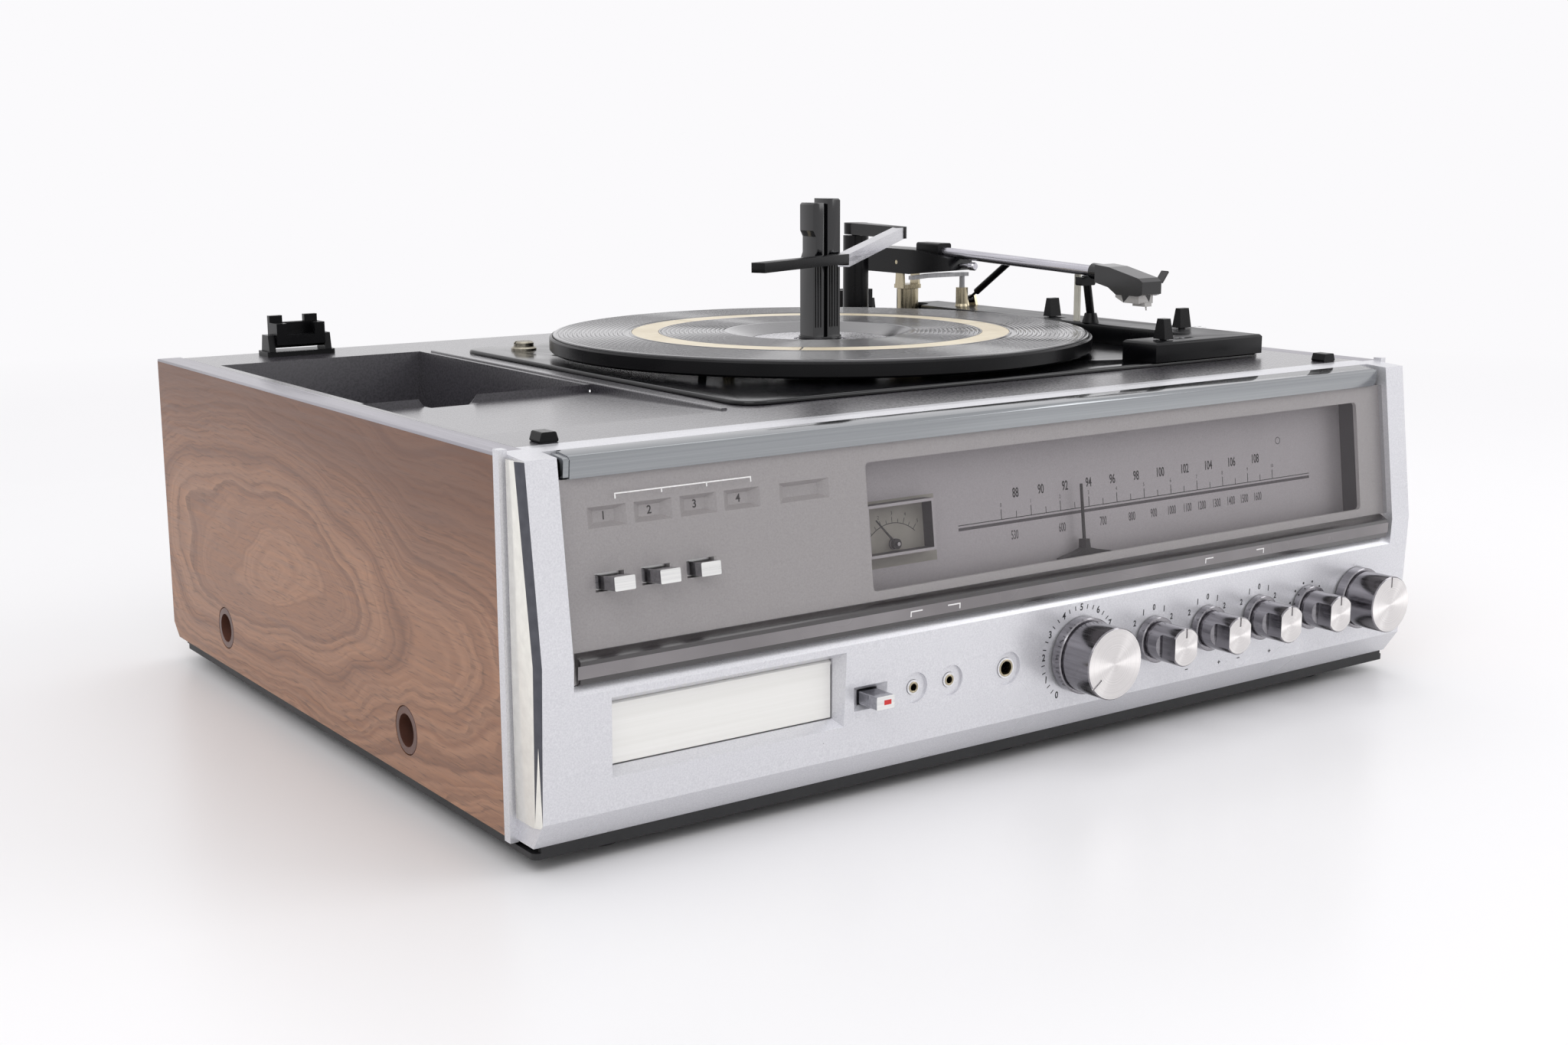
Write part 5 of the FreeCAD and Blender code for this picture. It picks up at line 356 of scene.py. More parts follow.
# Each row: darker and lighter colour, then the numbers that the look's function takes.
GRAINED = {  # roughness, grain per metre, depth of the grain in metres
    "black_smooth": ((8, 8, 10), (14, 14, 16), 0.26, 4200.0, 0.00001, {"Specular_IOR_Level": 0.2}),
    "black_gloss": ((9, 9, 11), (15, 15, 18), 0.13, 5000.0, 0.000004, {"IOR": 1.6}),
    "black_base": ((14, 14, 16), (24, 24, 26), 0.5, 1800.0, 0.00006, {}),
    "plate_enamel": (
        (10, 10, 12), (16, 16, 19), 0.16, 2400.0, 0.000012, {"Specular_IOR_Level": 0.38},
    ),
    "block_enamel": ((7, 7, 9), (13, 13, 16), 0.3, 2400.0, 0.000012, {"Specular_IOR_Level": 0.2}),
    "brown_cup": ((78, 50, 41), (98, 64, 53), 0.34, 3500.0, 0.00001, {}),
    "foot_rubber": ((22, 22, 23), (34, 34, 35), 0.7, 2600.0, 0.00005, {}),
    "board_brown": ((92, 73, 49), (103, 82, 55), 0.5, 900.0, 0.00004, {}),
    "circuit_tan": ((126, 96, 52), (150, 116, 66), 0.45, 700.0, 0.00002, {}),
    "mat_black": (
        (27, 26, 29), (39, 38, 42), 0.25, 3000.0, 0.00001,
        {"IOR": 1.9, "Coat_Weight": 0.9, "Coat_Roughness": 0.2},
    ),
    "ledge_dark": ((38, 34, 35), (48, 44, 45), 0.16, 5000.0, 0.000004, {"IOR": 1.8}),
    "ivory": ((206, 203, 190), (222, 219, 208), 0.35, 2600.0, 0.000006, {}),
    "rubber": ((24, 24, 25), (36, 36, 37), 0.75, 2400.0, 0.00004, {}),
    "needle_black": ((24, 22, 23), (36, 33, 34), 0.5, 3000.0, 0.00001, {}),
}
PAINTED = {  # roughness, metal, depth of the orange peel in metres
    "silver_paint": ((204, 204, 209), (224, 224, 228), 0.3, 0.5, 0.000008),
    "fascia_paint": ((186, 182, 182), (202, 198, 198), 0.42, 0.3, 0.00002),
    "dial_paint": ((182, 177, 180), (196, 191, 194), 0.45, 0.3, 0.00002),
    "cartridge_silver": ((176, 174, 172), (190, 188, 186), 0.3, 0.5, 0.00002),
    # the dial paint made dark for the side walls of the dial recess: painted shade
    "dial_wall": ((40, 38, 41), (52, 50, 53), 0.45, 0.3, 0.00002),
}
BRUSHED = {  # roughness, lines per metre along x, y and z, their depth in metres, metal
    "strip_silver": ((158, 156, 162), (184, 182, 188), 0.34, (900, 8, 900), 0.00001, 1.0),
    "bar_chrome": ((141, 144, 147), (157, 160, 162), 0.12, (4, 1200, 1200), 0.000002, 1.0),
    "door_silver": ((232, 231, 227), (240, 239, 236), 0.36, (4, 500, 500), 0.000003, 0.4),
    "button_face": ((214, 214, 213), (238, 238, 236), 0.3, (8, 1100, 1100), 0.00001, 1.0),
    "button_side": ((150, 150, 154), (176, 176, 180), 0.12, (700, 700, 700), 0.000002, 1.0),
    "knob_side": ((128, 126, 130), (152, 150, 154), 0.16, (700, 20, 700), 0.000003, 1.0),
    "steel": ((136, 136, 138), (176, 176, 178), 0.35, (500, 500, 30), 0.00001, 1.0),
    "sheet_steel": ((140, 138, 130), (170, 168, 158), 0.42, (40, 500, 500), 0.00001, 1.0),
    "chrome": ((206, 206, 208), (226, 226, 228), 0.1, (500, 500, 500), 0.000002, 1.0),
    "brass": ((160, 150, 126), (190, 180, 156), 0.26, (600, 600, 60), 0.00001, 1.0),
    "zinc": ((142, 137, 124), (172, 167, 154), 0.3, (500, 500, 500), 0.00001, 1.0),
    "hub_metal": ((196, 195, 198), (224, 223, 226), 0.26, (500, 500, 500), 0.00001, 1.0),
    "arm_metal": ((178, 177, 184), (204, 203, 210), 0.24, (900, 10, 900), 0.00001, 1.0),
    "link_metal": ((184, 184, 188), (212, 212, 216), 0.24, (60, 60, 900), 0.00001, 1.0),
    "core_iron": ((60, 56, 52), (92, 86, 78), 0.55, (900, 20, 20), 0.00004, 0.6),
}
LOOK = {
    "deck_grain": deck_moulding(),
    "walnut": walnut(),
    "smoked_sheet": smoked_sheet(),
    "trim_cream": polished_trim("trim_cream", srgb(243, 241, 234), srgb(230, 228, 222), 0.12),
    # the dark trim tone is a painted reflection: the same polished trim, only darker, for the
    # faces that turn to the front
    "trim_bevel_painted_reflection": polished_trim("trim_bevel_painted_reflection", srgb(74, 75, 82), srgb(86, 87, 94), 0.12),
}
for name, (dark, light, rough, grain, depth, sockets) in GRAINED.items():
    LOOK[name] = grained(name, srgb(*dark), srgb(*light), rough, grain, depth, **sockets)
for name, (dark, light, rough, metal, depth) in PAINTED.items():
    LOOK[name] = painted(name, srgb(*dark), srgb(*light), rough, metal, depth)
for name, (dark, light, rough, lines, depth, metal) in BRUSHED.items():
    LOOK[name] = brushed(name, srgb(*dark), srgb(*light), rough, lines, depth, metal)

NODE_LOOKS = {
    "side_panels": "walnut", "top_strips": "strip_silver", "base_tray": "black_base",
    "screw_cups": "brown_cup", "case_screws": "steel", "feet": "foot_rubber",
    "front_frame": "silver_paint", "cheek_trims": "trim_cream", "chrome_bar": "bar_chrome",
    "dial_window": "smoked_sheet", "fascia_plate": "fascia_paint", "dial_box": "dial_paint",
    "legend_ledge": "ledge_dark", "tape_chassis": "sheet_steel", "drive_motors": "steel",
    "receiver_boards": "circuit_tan", "top_deck": "deck_grain", "lid_fittings": "black_smooth",
    "changer_plate": "plate_enamel", "control_block": "block_enamel", "platter_bearing": "steel",
    "arm_posts": "black_smooth", "tonearm_base": "brass", "power_transformer": "core_iron",
    "back_panel": "board_brown", "rear_terminals": "black_gloss", "dial_pointer": "needle_black",
    "meter_needle": "needle_black", "tape_door": "door_silver", "record_button": "button_side",
    "program_button": "button_side", "fast_forward_button": "button_side",
    "pause_button": "button_side", "capstan_flywheel": "steel", "motor_pulley": "brass",
    "hinge_socket_left": "black_smooth", "hinge_socket_right": "black_smooth",
    "speed_lever": "black_smooth", "size_lever": "black_smooth", "reject_lever": "black_smooth",
    "platter": "black_smooth", "platter_mat": "mat_black", "spindle_adapter": "black_gloss",
    "idler_wheel": "rubber", "changer_pulley": "brass", "overarm": "black_smooth",
    "overarm_link": "link_metal", "tonearm_gimbal": "brass", "arm_housing": "black_smooth",
    "arm_tube": "arm_metal", "headshell": "black_gloss", "cue_lever": "black_smooth",
    "lift_bar": "steel", "tuning_drum": "black_gloss",
}
NODE_LOOKS.update(dict.fromkeys(KNOB_X, "knob_side"))
for name, look in NODE_LOOKS.items():
    mesh = frame["nodes"][name].data
    mesh.materials.clear()
    mesh.materials.append(LOOK[look])


def dress(name, look, pick):
    """Gives the faces of a CAD node that pick(normal, centre in millimetres) chooses a look."""
    mesh = frame["nodes"][name].data
    mesh.materials.append(look)
    index = len(mesh.materials) - 1
    for face in mesh.polygons:
        place = face.center / MM
        place = Vector((place.x, place.y - SHIFT_Y, place.z - SHIFT_Z))
        if pick(face.normal, place):
            face.material_index = index


CLIP_X = (184.5, 187.3)
CLIP_Y = (150.5, 155.5)
CARTRIDGE_TOP = 176.0
CARTRIDGE_HALF = 5.4
HUB_LOOK_R = 46.0


def near_jack(place, reach):
    """True where a point lies near the axis of a front jack."""
    return any(math.hypot(place.x - x, place.z - KNOB_Z) < bore + reach for x, bore in JACKS)


def jack_ring(normal, place):
    return place.y < -17 and near_jack(place, 3.0)


def jack_bore(normal, place):
    return place.y < 2 and abs(normal.y) < 0.5 and near_jack(place, 0.2)


def knob_front(normal, place):
    return normal.y < -0.95 and place.y < -40


def button_front(normal, place):
    return normal.dot(FASCIA_OUT) > 0.9


def transport_clip(normal, place):
    """The pale clip beside the tonearm's rest."""
    return CLIP_X[0] < place.x < CLIP_X[1] and CLIP_Y[0] < place.y < CLIP_Y[1]


def cartridge(normal, place):
    """The pickup under the headshell."""
    return place.z < CARTRIDGE_TOP and abs(place.x - ARM_X) < CARTRIDGE_HALF


def platter_hub(normal, place):
    return math.hypot(place.x - SPINDLE[0], place.y - SPINDLE[1]) < HUB_LOOK_R


for name, x in KNOB_X.items():
    centre = at(x, 0, KNOB_Z)
    face_look = spun_face(name + "_face", srgb(226, 223, 222), srgb(240, 237, 236), centre)
    dress(name, face_look, knob_front)
for name in ("program_button", "fast_forward_button", "pause_button"):
    dress(name, LOOK["button_face"], button_front)
dress("record_button", LOOK["button_face"], lambda normal, place: normal.y < -0.9)
# front faces of the polished cheek trims get the darker copy of the same trim: a painted
# reflection
dress("cheek_trims", LOOK["trim_bevel_painted_reflection"], lambda normal, place: normal.y < -0.15 and place.z > 20)
dress("receiver_boards", LOOK["chrome"], jack_ring)
dress("receiver_boards", LOOK["brass"], jack_bore)
dress("case_screws", LOOK["zinc"], lambda normal, place: place.z > 100)
dress("arm_posts", LOOK["ivory"], transport_clip)
dress("headshell", LOOK["cartridge_silver"], cartridge)
# walls of the dial recess get the dark copy of the dial paint: painted shade
dress("dial_box", LOOK["dial_wall"], lambda normal, place: normal.dot(FASCIA_OUT) < 0.9)
dress("platter", LOOK["hub_metal"], platter_hub)

# ------------------------------------------------------- softened corners
# Nodes whose corners catch the light get a twin with those corners rounded as moulding or
# polishing leaves them. The number is the rounding in millimetres.
ROUNDED = {
    "chrome_bar": 0.12, "legend_ledge": 0.15, "control_block": 0.2, "cheek_trims": 0.1,
    "top_strips": 0.12, "overarm": 0.1, "spindle_adapter": 0.06, "changer_plate": 0.15,
}
SHARP = math.radians(28)  # corners turn more than this
LEVEL = math.radians(0.5)  # faces turn less than this where they are one flat face
WELD = 2e-6  # metres
WINDOW_GAP = 0.25
BODIES = frame["record"]["behaviour"]["bodies"]
BODY_OF = {node: body for body, nodes in BODIES.items() for node in nodes}


def stand_in(name, mesh):
    """Object that takes a node's place, on the node's body."""
    twin = bpy.data.objects.new(name + "_finished", mesh)
    scene.collection.objects.link(twin)
    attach(twin, BODY_OF[name])
    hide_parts(name)


def smooth_mesh(name, shape):
    """Mesh from a bmesh, which it frees: smooth except at its sharp corners."""
    mesh = bpy.data.meshes.new(name)
    shape.to_mesh(mesh)
    shape.free()
    if "custom_normal" in mesh.attributes:
        mesh.attributes.remove(mesh.attributes["custom_normal"])
    mesh.polygons.foreach_set("use_smooth", [True] * len(mesh.polygons))
    mesh.set_sharp_from_angle(angle=SHARP)
    return mesh


def rounded_twin(name, width):
    """Copy of a node with joined flat faces and bevelled corners."""
    source = frame["nodes"][name].data
    shape = bmesh.new()
    shape.from_mesh(source)
    bmesh.ops.remove_doubles(shape, verts=shape.verts, dist=WELD)
    flat = []
    for edge in shape.edges:
        looks = [face.material_index for face in edge.link_faces]
        if len(looks) == 2 and looks[0] == looks[1] and edge.calc_face_angle(0) < LEVEL:
            flat.append(edge)
    bmesh.ops.dissolve_edges(shape, edges=flat, use_verts=False, use_face_split=False)
    corners = [e for e in shape.edges if len(e.link_faces) == 2 and e.calc_face_angle(0) > SHARP]
    bmesh.ops.bevel(
        shape, geom=corners, offset=width * MM, offset_type="OFFSET", segments=2, profile=0.5,
        affect="EDGES", clamp_overlap=True, material=-1,
    )
    mesh = smooth_mesh(name + "_finished", shape)
    for look in source.materials:
        mesh.materials.append(look)
    stand_in(name, mesh)


for name, width in ROUNDED.items():
    rounded_twin(name, width)

# the smoked sheet, its back face held just off the fascia behind it
sheet = frame["nodes"]["dial_window"].data.copy()
back = min(point.co.dot(FASCIA_OUT) for point in sheet.vertices)
for point in sheet.vertices:
    if point.co.dot(FASCIA_OUT) < back + WINDOW_GAP * MM:
        point.co += FASCIA_OUT * WINDOW_GAP * MM
stand_in("dial_window", sheet)


# ----------------------------------------------------------- printed marks
def face_plane(origin, up):
    """Matrix from millimetres (right, up, outward) on a flat face to the frame."""
    right = Vector((1, 0, 0))
    up = up.normalized()
    axes = Matrix((right, up, right.cross(up))).transposed().to_4x4()
    return Matrix.Translation(origin) @ axes @ Matrix.Scale(MM, 4)


def fascia_plane(inset):
    """Plane of the tilted fascia, inset millimetres behind its outer surface."""
    return face_plane(at(0, KNEE_Y, KNEE_Z) - FASCIA_OUT * inset * MM, FASCIA_UP)


# The control panel leans forward from its toe to the knee.
TOE_Y, TOE_Z = -23.9, 9.8
PANEL_UP = Vector((0, KNEE_Y - TOE_Y, KNEE_Z - TOE_Z)).normalized()
PANEL = face_plane(at(0, TOE_Y, TOE_Z), PANEL_UP)
WINDOW = fascia_plane(3.0)
LAMP_FLOOR = fascia_plane(8.0)
DIAL_FACE = fascia_plane(16.5)


def on_circle(centre, radius, angle):
    """Point on a circle, its angle in degrees clockwise from straight up."""
    way = math.radians(angle)
    return Vector((centre[0] + radius * math.sin(way), centre[1] + radius * math.cos(way)))


def on_panel(z):
    """Distance up the lower panel for a height z."""
    return (z - TOE_Z) / PANEL_UP.z


def add_object(name, mesh, look, body):
    """Links a mesh object with one material and hangs it on a body."""
    made = bpy.data.objects.new(name, mesh)
    scene.collection.objects.link(made)
    mesh.materials.append(look)
    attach(made, body)
    return made


class Marks:
    """Thin raised marks on flat faces, gathered in one mesh. Their foot is sunk in the face."""

    SUNK = -0.03
    FIGURE_PER_SIZE = 0.7  # height of a figure for a font size of 1
    WELD = 1e-7  # metres

    def __init__(self, high):
        self.shape = bmesh.new()
        self.high = high

    def prism(self, place, outline):
        """Flat plate of one outline."""
        loops = []
        for level in (self.SUNK, self.high):
            corners = [place @ Vector((x, y, level)) for x, y in outline]
            loops.append([self.shape.verts.new(corner) for corner in corners])
        low, high = loops
        self.shape.faces.new(high)
        self.shape.faces.new(low[::-1])
        count = len(outline)
        for n in range(count):
            m = (n + 1) % count
            self.shape.faces.new((low[n], low[m], high[m], high[n]))

    def block(self, place, left, low, right, high):
        """Upright rectangle from its lower left corner to its upper right one."""
        self.prism(place, [(left, low), (right, low), (right, high), (left, high)])

    def bar(self, place, a, b, width):
        """Straight bar from a to b."""
        a, b = Vector(a), Vector(b)
        side = (b - a).normalized().orthogonal() * (width / 2)
        if side.cross(b - a) >= 0:
            side = -side
        self.prism(place, [a + side, a - side, b - side, b + side])

    def arc(self, place, centre, radius, start, end, width, steps):
        """Band along a circle; angles in degrees clockwise from straight up."""
        outer, inner = [], []
        for n in range(steps + 1):
            angle = start + (end - start) * n / steps
            outer.append(on_circle(centre, radius + width / 2, angle))
            inner.append(on_circle(centre, radius - width / 2, angle))
        for n in range(steps):
            self.prism(place, [outer[n], outer[n + 1], inner[n + 1], inner[n]])

    def ray(self, place, centre, angle, near, far, width):
        """Tick on a circle, its angle clockwise from straight up."""
        self.bar(place, on_circle(centre, near, angle), on_circle(centre, far, angle), width)

    def text(self, place, words, centre, size, squeeze, bold=0.0):
        """Plain figures round a centre; size is the height of a figure."""
        curve = bpy.data.curves.new("figures", "FONT")
        curve.body = words
        curve.size = size / self.FIGURE_PER_SIZE
        curve.align_x = "CENTER"
        curve.align_y = "CENTER"
        curve.resolution_u = 3
        curve.offset = bold
        curve.extrude = (self.high - self.SUNK) / 2
        holder = bpy.data.objects.new("figures", curve)
        scene.collection.objects.link(holder)
        solid = holder.evaluated_get(bpy.context.evaluated_depsgraph_get())
        made = bpy.data.meshes.new_from_object(solid)
        shift = Matrix.Translation((*centre, (self.high + self.SUNK) / 2))
        made.transform(place @ shift @ Matrix.Diagonal((squeeze, 1, 1, 1)))
        self.shape.from_mesh(made)
        bpy.data.objects.remove(holder)
        bpy.data.curves.remove(curve)
        bpy.data.meshes.remove(made)

    def done(self, name, look, slot, body="cabinet"):
        """Hands the marks over as one piece on a body. The slot is not used."""
        mesh = bpy.data.meshes.new(name)
        bmesh.ops.remove_doubles(self.shape, verts=self.shape.verts, dist=self.WELD)
        bmesh.ops.recalc_face_normals(self.shape, faces=self.shape.faces)
        self.shape.to_mesh(mesh)
        self.shape.free()
        made = add_object(name, mesh, look, body)


def ink(name, colour, rough=0.5):
    """Screen-printed ink: slightly uneven colour."""
    s = Shader(name, colour, rough)
    darker = (*(c * 0.86 for c in colour[:3]), 1.0)
    s.colour(s.ramp(s.noise(700.0, 2.0), (0.35, darker), (0.65, colour)))
    s.rough(s.span(s.noise(900.0, 2.0), rough - 0.05, rough + 0.05, 0.3, 0.7))
    return s.mat


def mottled(name, colour, rough, low, high, cloud, haze):
    """Sheet whose colour drifts between two tones; rough is (plain, lowest, highest)."""
    s = Shader(name, colour, rough[0])
    s.colour(s.ramp(s.noise(*cloud), (0.3, low), (0.7, high)))
    s.rough(s.span(s.noise(*haze), *rough[1:], 0.3, 0.7))
    return s.mat


white_ink = ink("white_ink", srgb(238, 236, 236), 0.4)
dark_ink = ink("dark_ink", srgb(34, 33, 38))
dial_ink = ink("dial_ink", srgb(40, 36, 38))
scale_ink = ink("scale_ink", srgb(84, 79, 83))
lever_ink = ink("lever_ink", srgb(150, 150, 154), 0.4)
lamp_ink = ink("lamp_ink", srgb(52, 48, 49))
red_ink = ink("red_ink", srgb(206, 42, 40), 0.35)

# white bracket above the four indicators, and their figures
LAMP_MARKS_X = (-206.7, -186.6, -166.6, -146.4)
BRACKET_V = 59.4
BRACKET_LINE = 0.5
LAMP_FIGURES_X = (-209.5, -189.7, -169.6, -149.6)
LAMP_FIGURES_V = 51.3
bracket = Marks(0.06)
ends = (LAMP_MARKS_X[0] - BRACKET_LINE / 2, LAMP_MARKS_X[-1] + BRACKET_LINE / 2)
bracket.bar(WINDOW, (ends[0], BRACKET_V), (ends[1], BRACKET_V), BRACKET_LINE)
for x, drop in zip(LAMP_MARKS_X, (1.9, 1.6, 1.6, 1.9)):
    bracket.bar(WINDOW, (x, BRACKET_V), (x, BRACKET_V - drop), BRACKET_LINE)
bracket.done("indicator_bracket", white_ink, "smoked_sheet")
figures = Marks(0.05)
for n, x in enumerate(LAMP_FIGURES_X):
    figures.text(LAMP_FLOOR, str(n + 1), (x, LAMP_FIGURES_V), 3.1, 0.95, 0.08)
figures.done("indicator_figures", lamp_ink, "fascia_grey")

# tuning scale: FM figures, a row of ten steps between two lines, AM figures, a small ring
FM_X = (-0.2, 14.6, 29.0, 43.3, 58.0, 73.0, 88.4, 104.4, 120.2, 136.0, 152.4)
FM_V = 37.2
STEP = 17.3
STEPS_X = [-9.0 + STEP * n for n in range(11)]
STEPS_V = 32.8
AM_X = (-2.0, 26.0, 51.0, 69.0, 83.0, 94.6, 105.0, 114.6, 124.6, 134.4, 143.6, 153.0)
AM_TEXT = "530 600 700 800 900 1000 1100 1200 1300 1400 1500 1600".split()
AM_V = 19.0
SCALE_LEFT, SCALE_RIGHT = -33.4, 190.4
THIN_V = 26.6
THICK_V = 24.9
TUNED_RING = (169.0, 44.5)
scale = Marks(0.06)
scale.bar(DIAL_FACE, (SCALE_LEFT, THIN_V), (SCALE_RIGHT, THIN_V), 0.36)
for n, x in enumerate(FM_X):
    scale.text(DIAL_FACE, str(88 + 2 * n), (x, FM_V), 4.1, 0.62, 0.1)
for x in STEPS_X:
    scale.bar(DIAL_FACE, (x, THIN_V), (x, THIN_V + 4.4), 0.34)
for x in STEPS_X[:-1]:
    scale.bar(DIAL_FACE, (x + STEP / 2, THIN_V), (x + STEP / 2, THIN_V + 2.8), 0.3)
scale.done("scale_marks", dial_ink, "dial_grey")
small = Marks(0.05)
small.bar(DIAL_FACE, (SCALE_LEFT, THICK_V), (SCALE_RIGHT, THICK_V), 1.3)
for n, x in enumerate(STEPS_X):
    small.text(DIAL_FACE, str(n), (x, STEPS_V), 1.7, 0.8)
for words, x in zip(AM_TEXT, AM_X):
    small.text(DIAL_FACE, words, (x, AM_V), 3.9, 0.5, 0.06)
small.arc(DIAL_FACE, TUNED_RING, 1.6, 0, 360, 0.35, 20)
small.done("scale_figures", scale_ink, "dial_grey")

# signal meter: its paper, and nine ticks on an arc, every other one longer and with a figure
METER_CENTRE = (-68.8, 14.4)
METER_R = 17.6
METER_SWING = 38
METER_FIGURES = 4.1
meter_paper = mottled(
    "meter_paper", srgb(214, 208, 194), (0.6, 0.5, 0.65),
    srgb(156, 152, 143), srgb(174, 170, 161), (60.0, 3.0), (90.0, 2.0),
)
paper = Marks(0.03)
paper.block(DIAL_FACE, -92.0, 14.0, -46.0, 42.0)
paper.done("meter_paper", meter_paper, "dial_grey")
meter = Marks(0.06)
meter.arc(DIAL_FACE, METER_CENTRE, METER_R, -42, 42, 0.32, 30)
for n in range(9):
    angle = METER_SWING * (n / 4 - 1)
    length = 1.7 if n % 2 else 2.6
    meter.ray(DIAL_FACE, METER_CENTRE, angle, METER_R, METER_R + length, 0.25)
for n in range(5):
    spot = on_circle(METER_CENTRE, METER_R + METER_FIGURES, METER_SWING * (n / 2 - 1))
    meter.text(DIAL_FACE, str(n + 1), spot, 1.5, 0.8)
meter.done("meter_marks", dial_ink, "dial_grey")

# grey band of the ledge, with the plain brackets over the jacks and the tone controls
LEDGE_Z = 61.0
LEDGE_Y = KNEE_Y + 0.5
LEDGE_LOW = LEDGE_Y + (TOE_Y - KNEE_Y) * (KNEE_Z - LEDGE_Z) / (KNEE_Z - TOE_Z)
LEDGE_UP = Vector((0, LEDGE_Y - LEDGE_LOW, KNEE_Z - LEDGE_Z))
LEDGE = face_plane(at(0, LEDGE_LOW, LEDGE_Z), LEDGE_UP)
RAIL_V = 5.2
RAIL_LINE = 0.55
RAILS = ((-74.0, -68.0, -54.5, -48.0), (99.0, 104.0, 133.0, 138.0))  # left, gap, gap, right
band_ink = mottled(
    "band_ink", srgb(126, 122, 124), (0.26, 0.22, 0.32),
    srgb(118, 114, 116), srgb(134, 130, 132), (30.0, 2.0), (18.0, 2.0),
)
band = Marks(0.04)
band.block(LEDGE, -229.0, 2.0, 229.0, 7.0)
band.done("ledge_band", band_ink, "dark_moulding")
brackets = Marks(0.07)
for left, gap_left, gap_right, right in RAILS:
    brackets.bar(LEDGE, (left, RAIL_V), (gap_left, RAIL_V), RAIL_LINE)
    brackets.bar(LEDGE, (gap_right, RAIL_V), (right, RAIL_V), RAIL_LINE)
    for x in (left, right):
        brackets.bar(LEDGE, (x, RAIL_V + 0.27), (x, 3.0), RAIL_LINE)
brackets.done("ledge_brackets", white_ink, "dark_moulding")

# red mark near the right edge of the record button
low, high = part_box("record_button")
UPRIGHT = Vector((0, 0, 1))
BUTTON_FRONT = Matrix.Translation((0, low[1], 0)) @ face_plane(Vector((0, 0, 0)), UPRIGHT)
mid_z = (low[2] + high[2]) / 2 / MM
edge_x = high[0] / MM
red = Marks(0.05)
red.block(BUTTON_FRONT, edge_x - 5.2, mid_z - 1.0, edge_x - 1.6, mid_z + 1.0)
red.done("record_mark", red_ink, "button_metal", "record_button")

# marks round the knobs
KNOB_V = on_panel(KNOB_Z)
FIGURE_BOLD = 0.1
VOLUME = (KNOB_X["volume_knob"], KNOB_V)
VOLUME_R = 21.0
VOLUME_START = -145
VOLUME_STEP = 29
SMALL_R = 14.4
SIGN_X, SIGN_V = 10.8, -18.7
SIGN_ARM = 0.9
DOT_CENTRE = (KNOB_X["selector_knob"], KNOB_V)
DOT_R = 12.2
dark = Marks(0.05)
for n in range(11):
    angle = VOLUME_START + VOLUME_STEP * n
    dark.text(PANEL, str(n), on_circle(VOLUME, VOLUME_R, angle), 3.1, 0.85, FIGURE_BOLD)
for third in range(30):
    if third % 3:
        angle = VOLUME_START + VOLUME_STEP * third / 3
        dark.ray(PANEL, VOLUME, angle, VOLUME_R - 0.8, VOLUME_R + 1.2, 0.42)
for name in ("balance_knob", "bass_knob", "treble_knob"):
    for n, words in enumerate("21012"):
        spot = on_circle((KNOB_X[name], KNOB_V), SMALL_R, -54 + 27 * n)
        dark.text(PANEL, words, spot, 2.7, 0.85, FIGURE_BOLD)
for name in ("bass_knob", "treble_knob"):
    for sign in (-1, 1):
        x, v = KNOB_X[name] + sign * SIGN_X, KNOB_V + SIGN_V
        dark.bar(PANEL, (x - SIGN_ARM, v), (x + SIGN_ARM, v), SIGN_ARM / 2)
        if sign > 0:
            dark.bar(PANEL, (x, v - SIGN_ARM), (x, v + SIGN_ARM), SIGN_ARM / 2)
for n in range(6):
    spot = on_circle(DOT_CENTRE, DOT_R, -75 + 30 * n)
    dark.prism(PANEL, [on_circle(spot, 0.6, 90 - 36 * k) for k in range(10)])
dark.done("panel_marks", dark_ink, "silver_moulding")

# ticks and an arrowhead beside each lever of the control block
BLOCK_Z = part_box("control_block")[1][2] / MM - SHIFT_Z
BLOCK_TOP = face_plane(at(0, 0, BLOCK_Z), Vector((0, 1, 0)))
TICK_PITCH = 7.0
TICK_LENGTH = 4.0
ticks = Marks(0.05)
for name, count in (("speed_lever", 3), ("size_lever", 3), ("reject_lever", 1)):
    low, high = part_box(name)
    left = high[0] / MM + 3.0
    middle = (low[1] + high[1]) / 2 / MM - SHIFT_Y
    for n in range(count):
        y = middle + TICK_PITCH * (n - (count - 1) / 2)
        ticks.bar(BLOCK_TOP, (left, y), (left + TICK_LENGTH, y), 0.5)
    arrow = [(left + 6.0, middle - 1.2), (left + 8.2, middle), (left + 6.0, middle + 1.2)]
    ticks.prism(BLOCK_TOP, arrow)
ticks.done("lever_ticks", lever_ink, "plate_black")


# ---------------------------------------------- turned rims and platter mat
def lathe(shape, profile, centre, axis, segments):
    """Adds a closed solid of revolution; profile in (radius, place along the axis) millimetres."""
    rings = []
    for radius, reach in profile:
        ring = []
        for n in range(segments):
            angle = math.tau * n / segments
            a, b = centre[0] + radius * math.cos(angle), centre[1] + radius * math.sin(angle)
            ring.append(shape.verts.new(at(a, b, reach) if axis == "Z" else at(a, reach, b)))
        rings.append(ring)
    for a, b in zip(rings, rings[1:] + rings[:1]):
        for n in range(segments):
            m = (n + 1) % segments
            shape.faces.new((a[n], a[m], b[m], b[n]))


def turned_piece(name, shape, look, body):
    """Finishes a turned shape with outward faces."""
    bmesh.ops.recalc_face_normals(shape, faces=shape.faces)
    return add_object(name, smooth_mesh(name, shape), look, body)


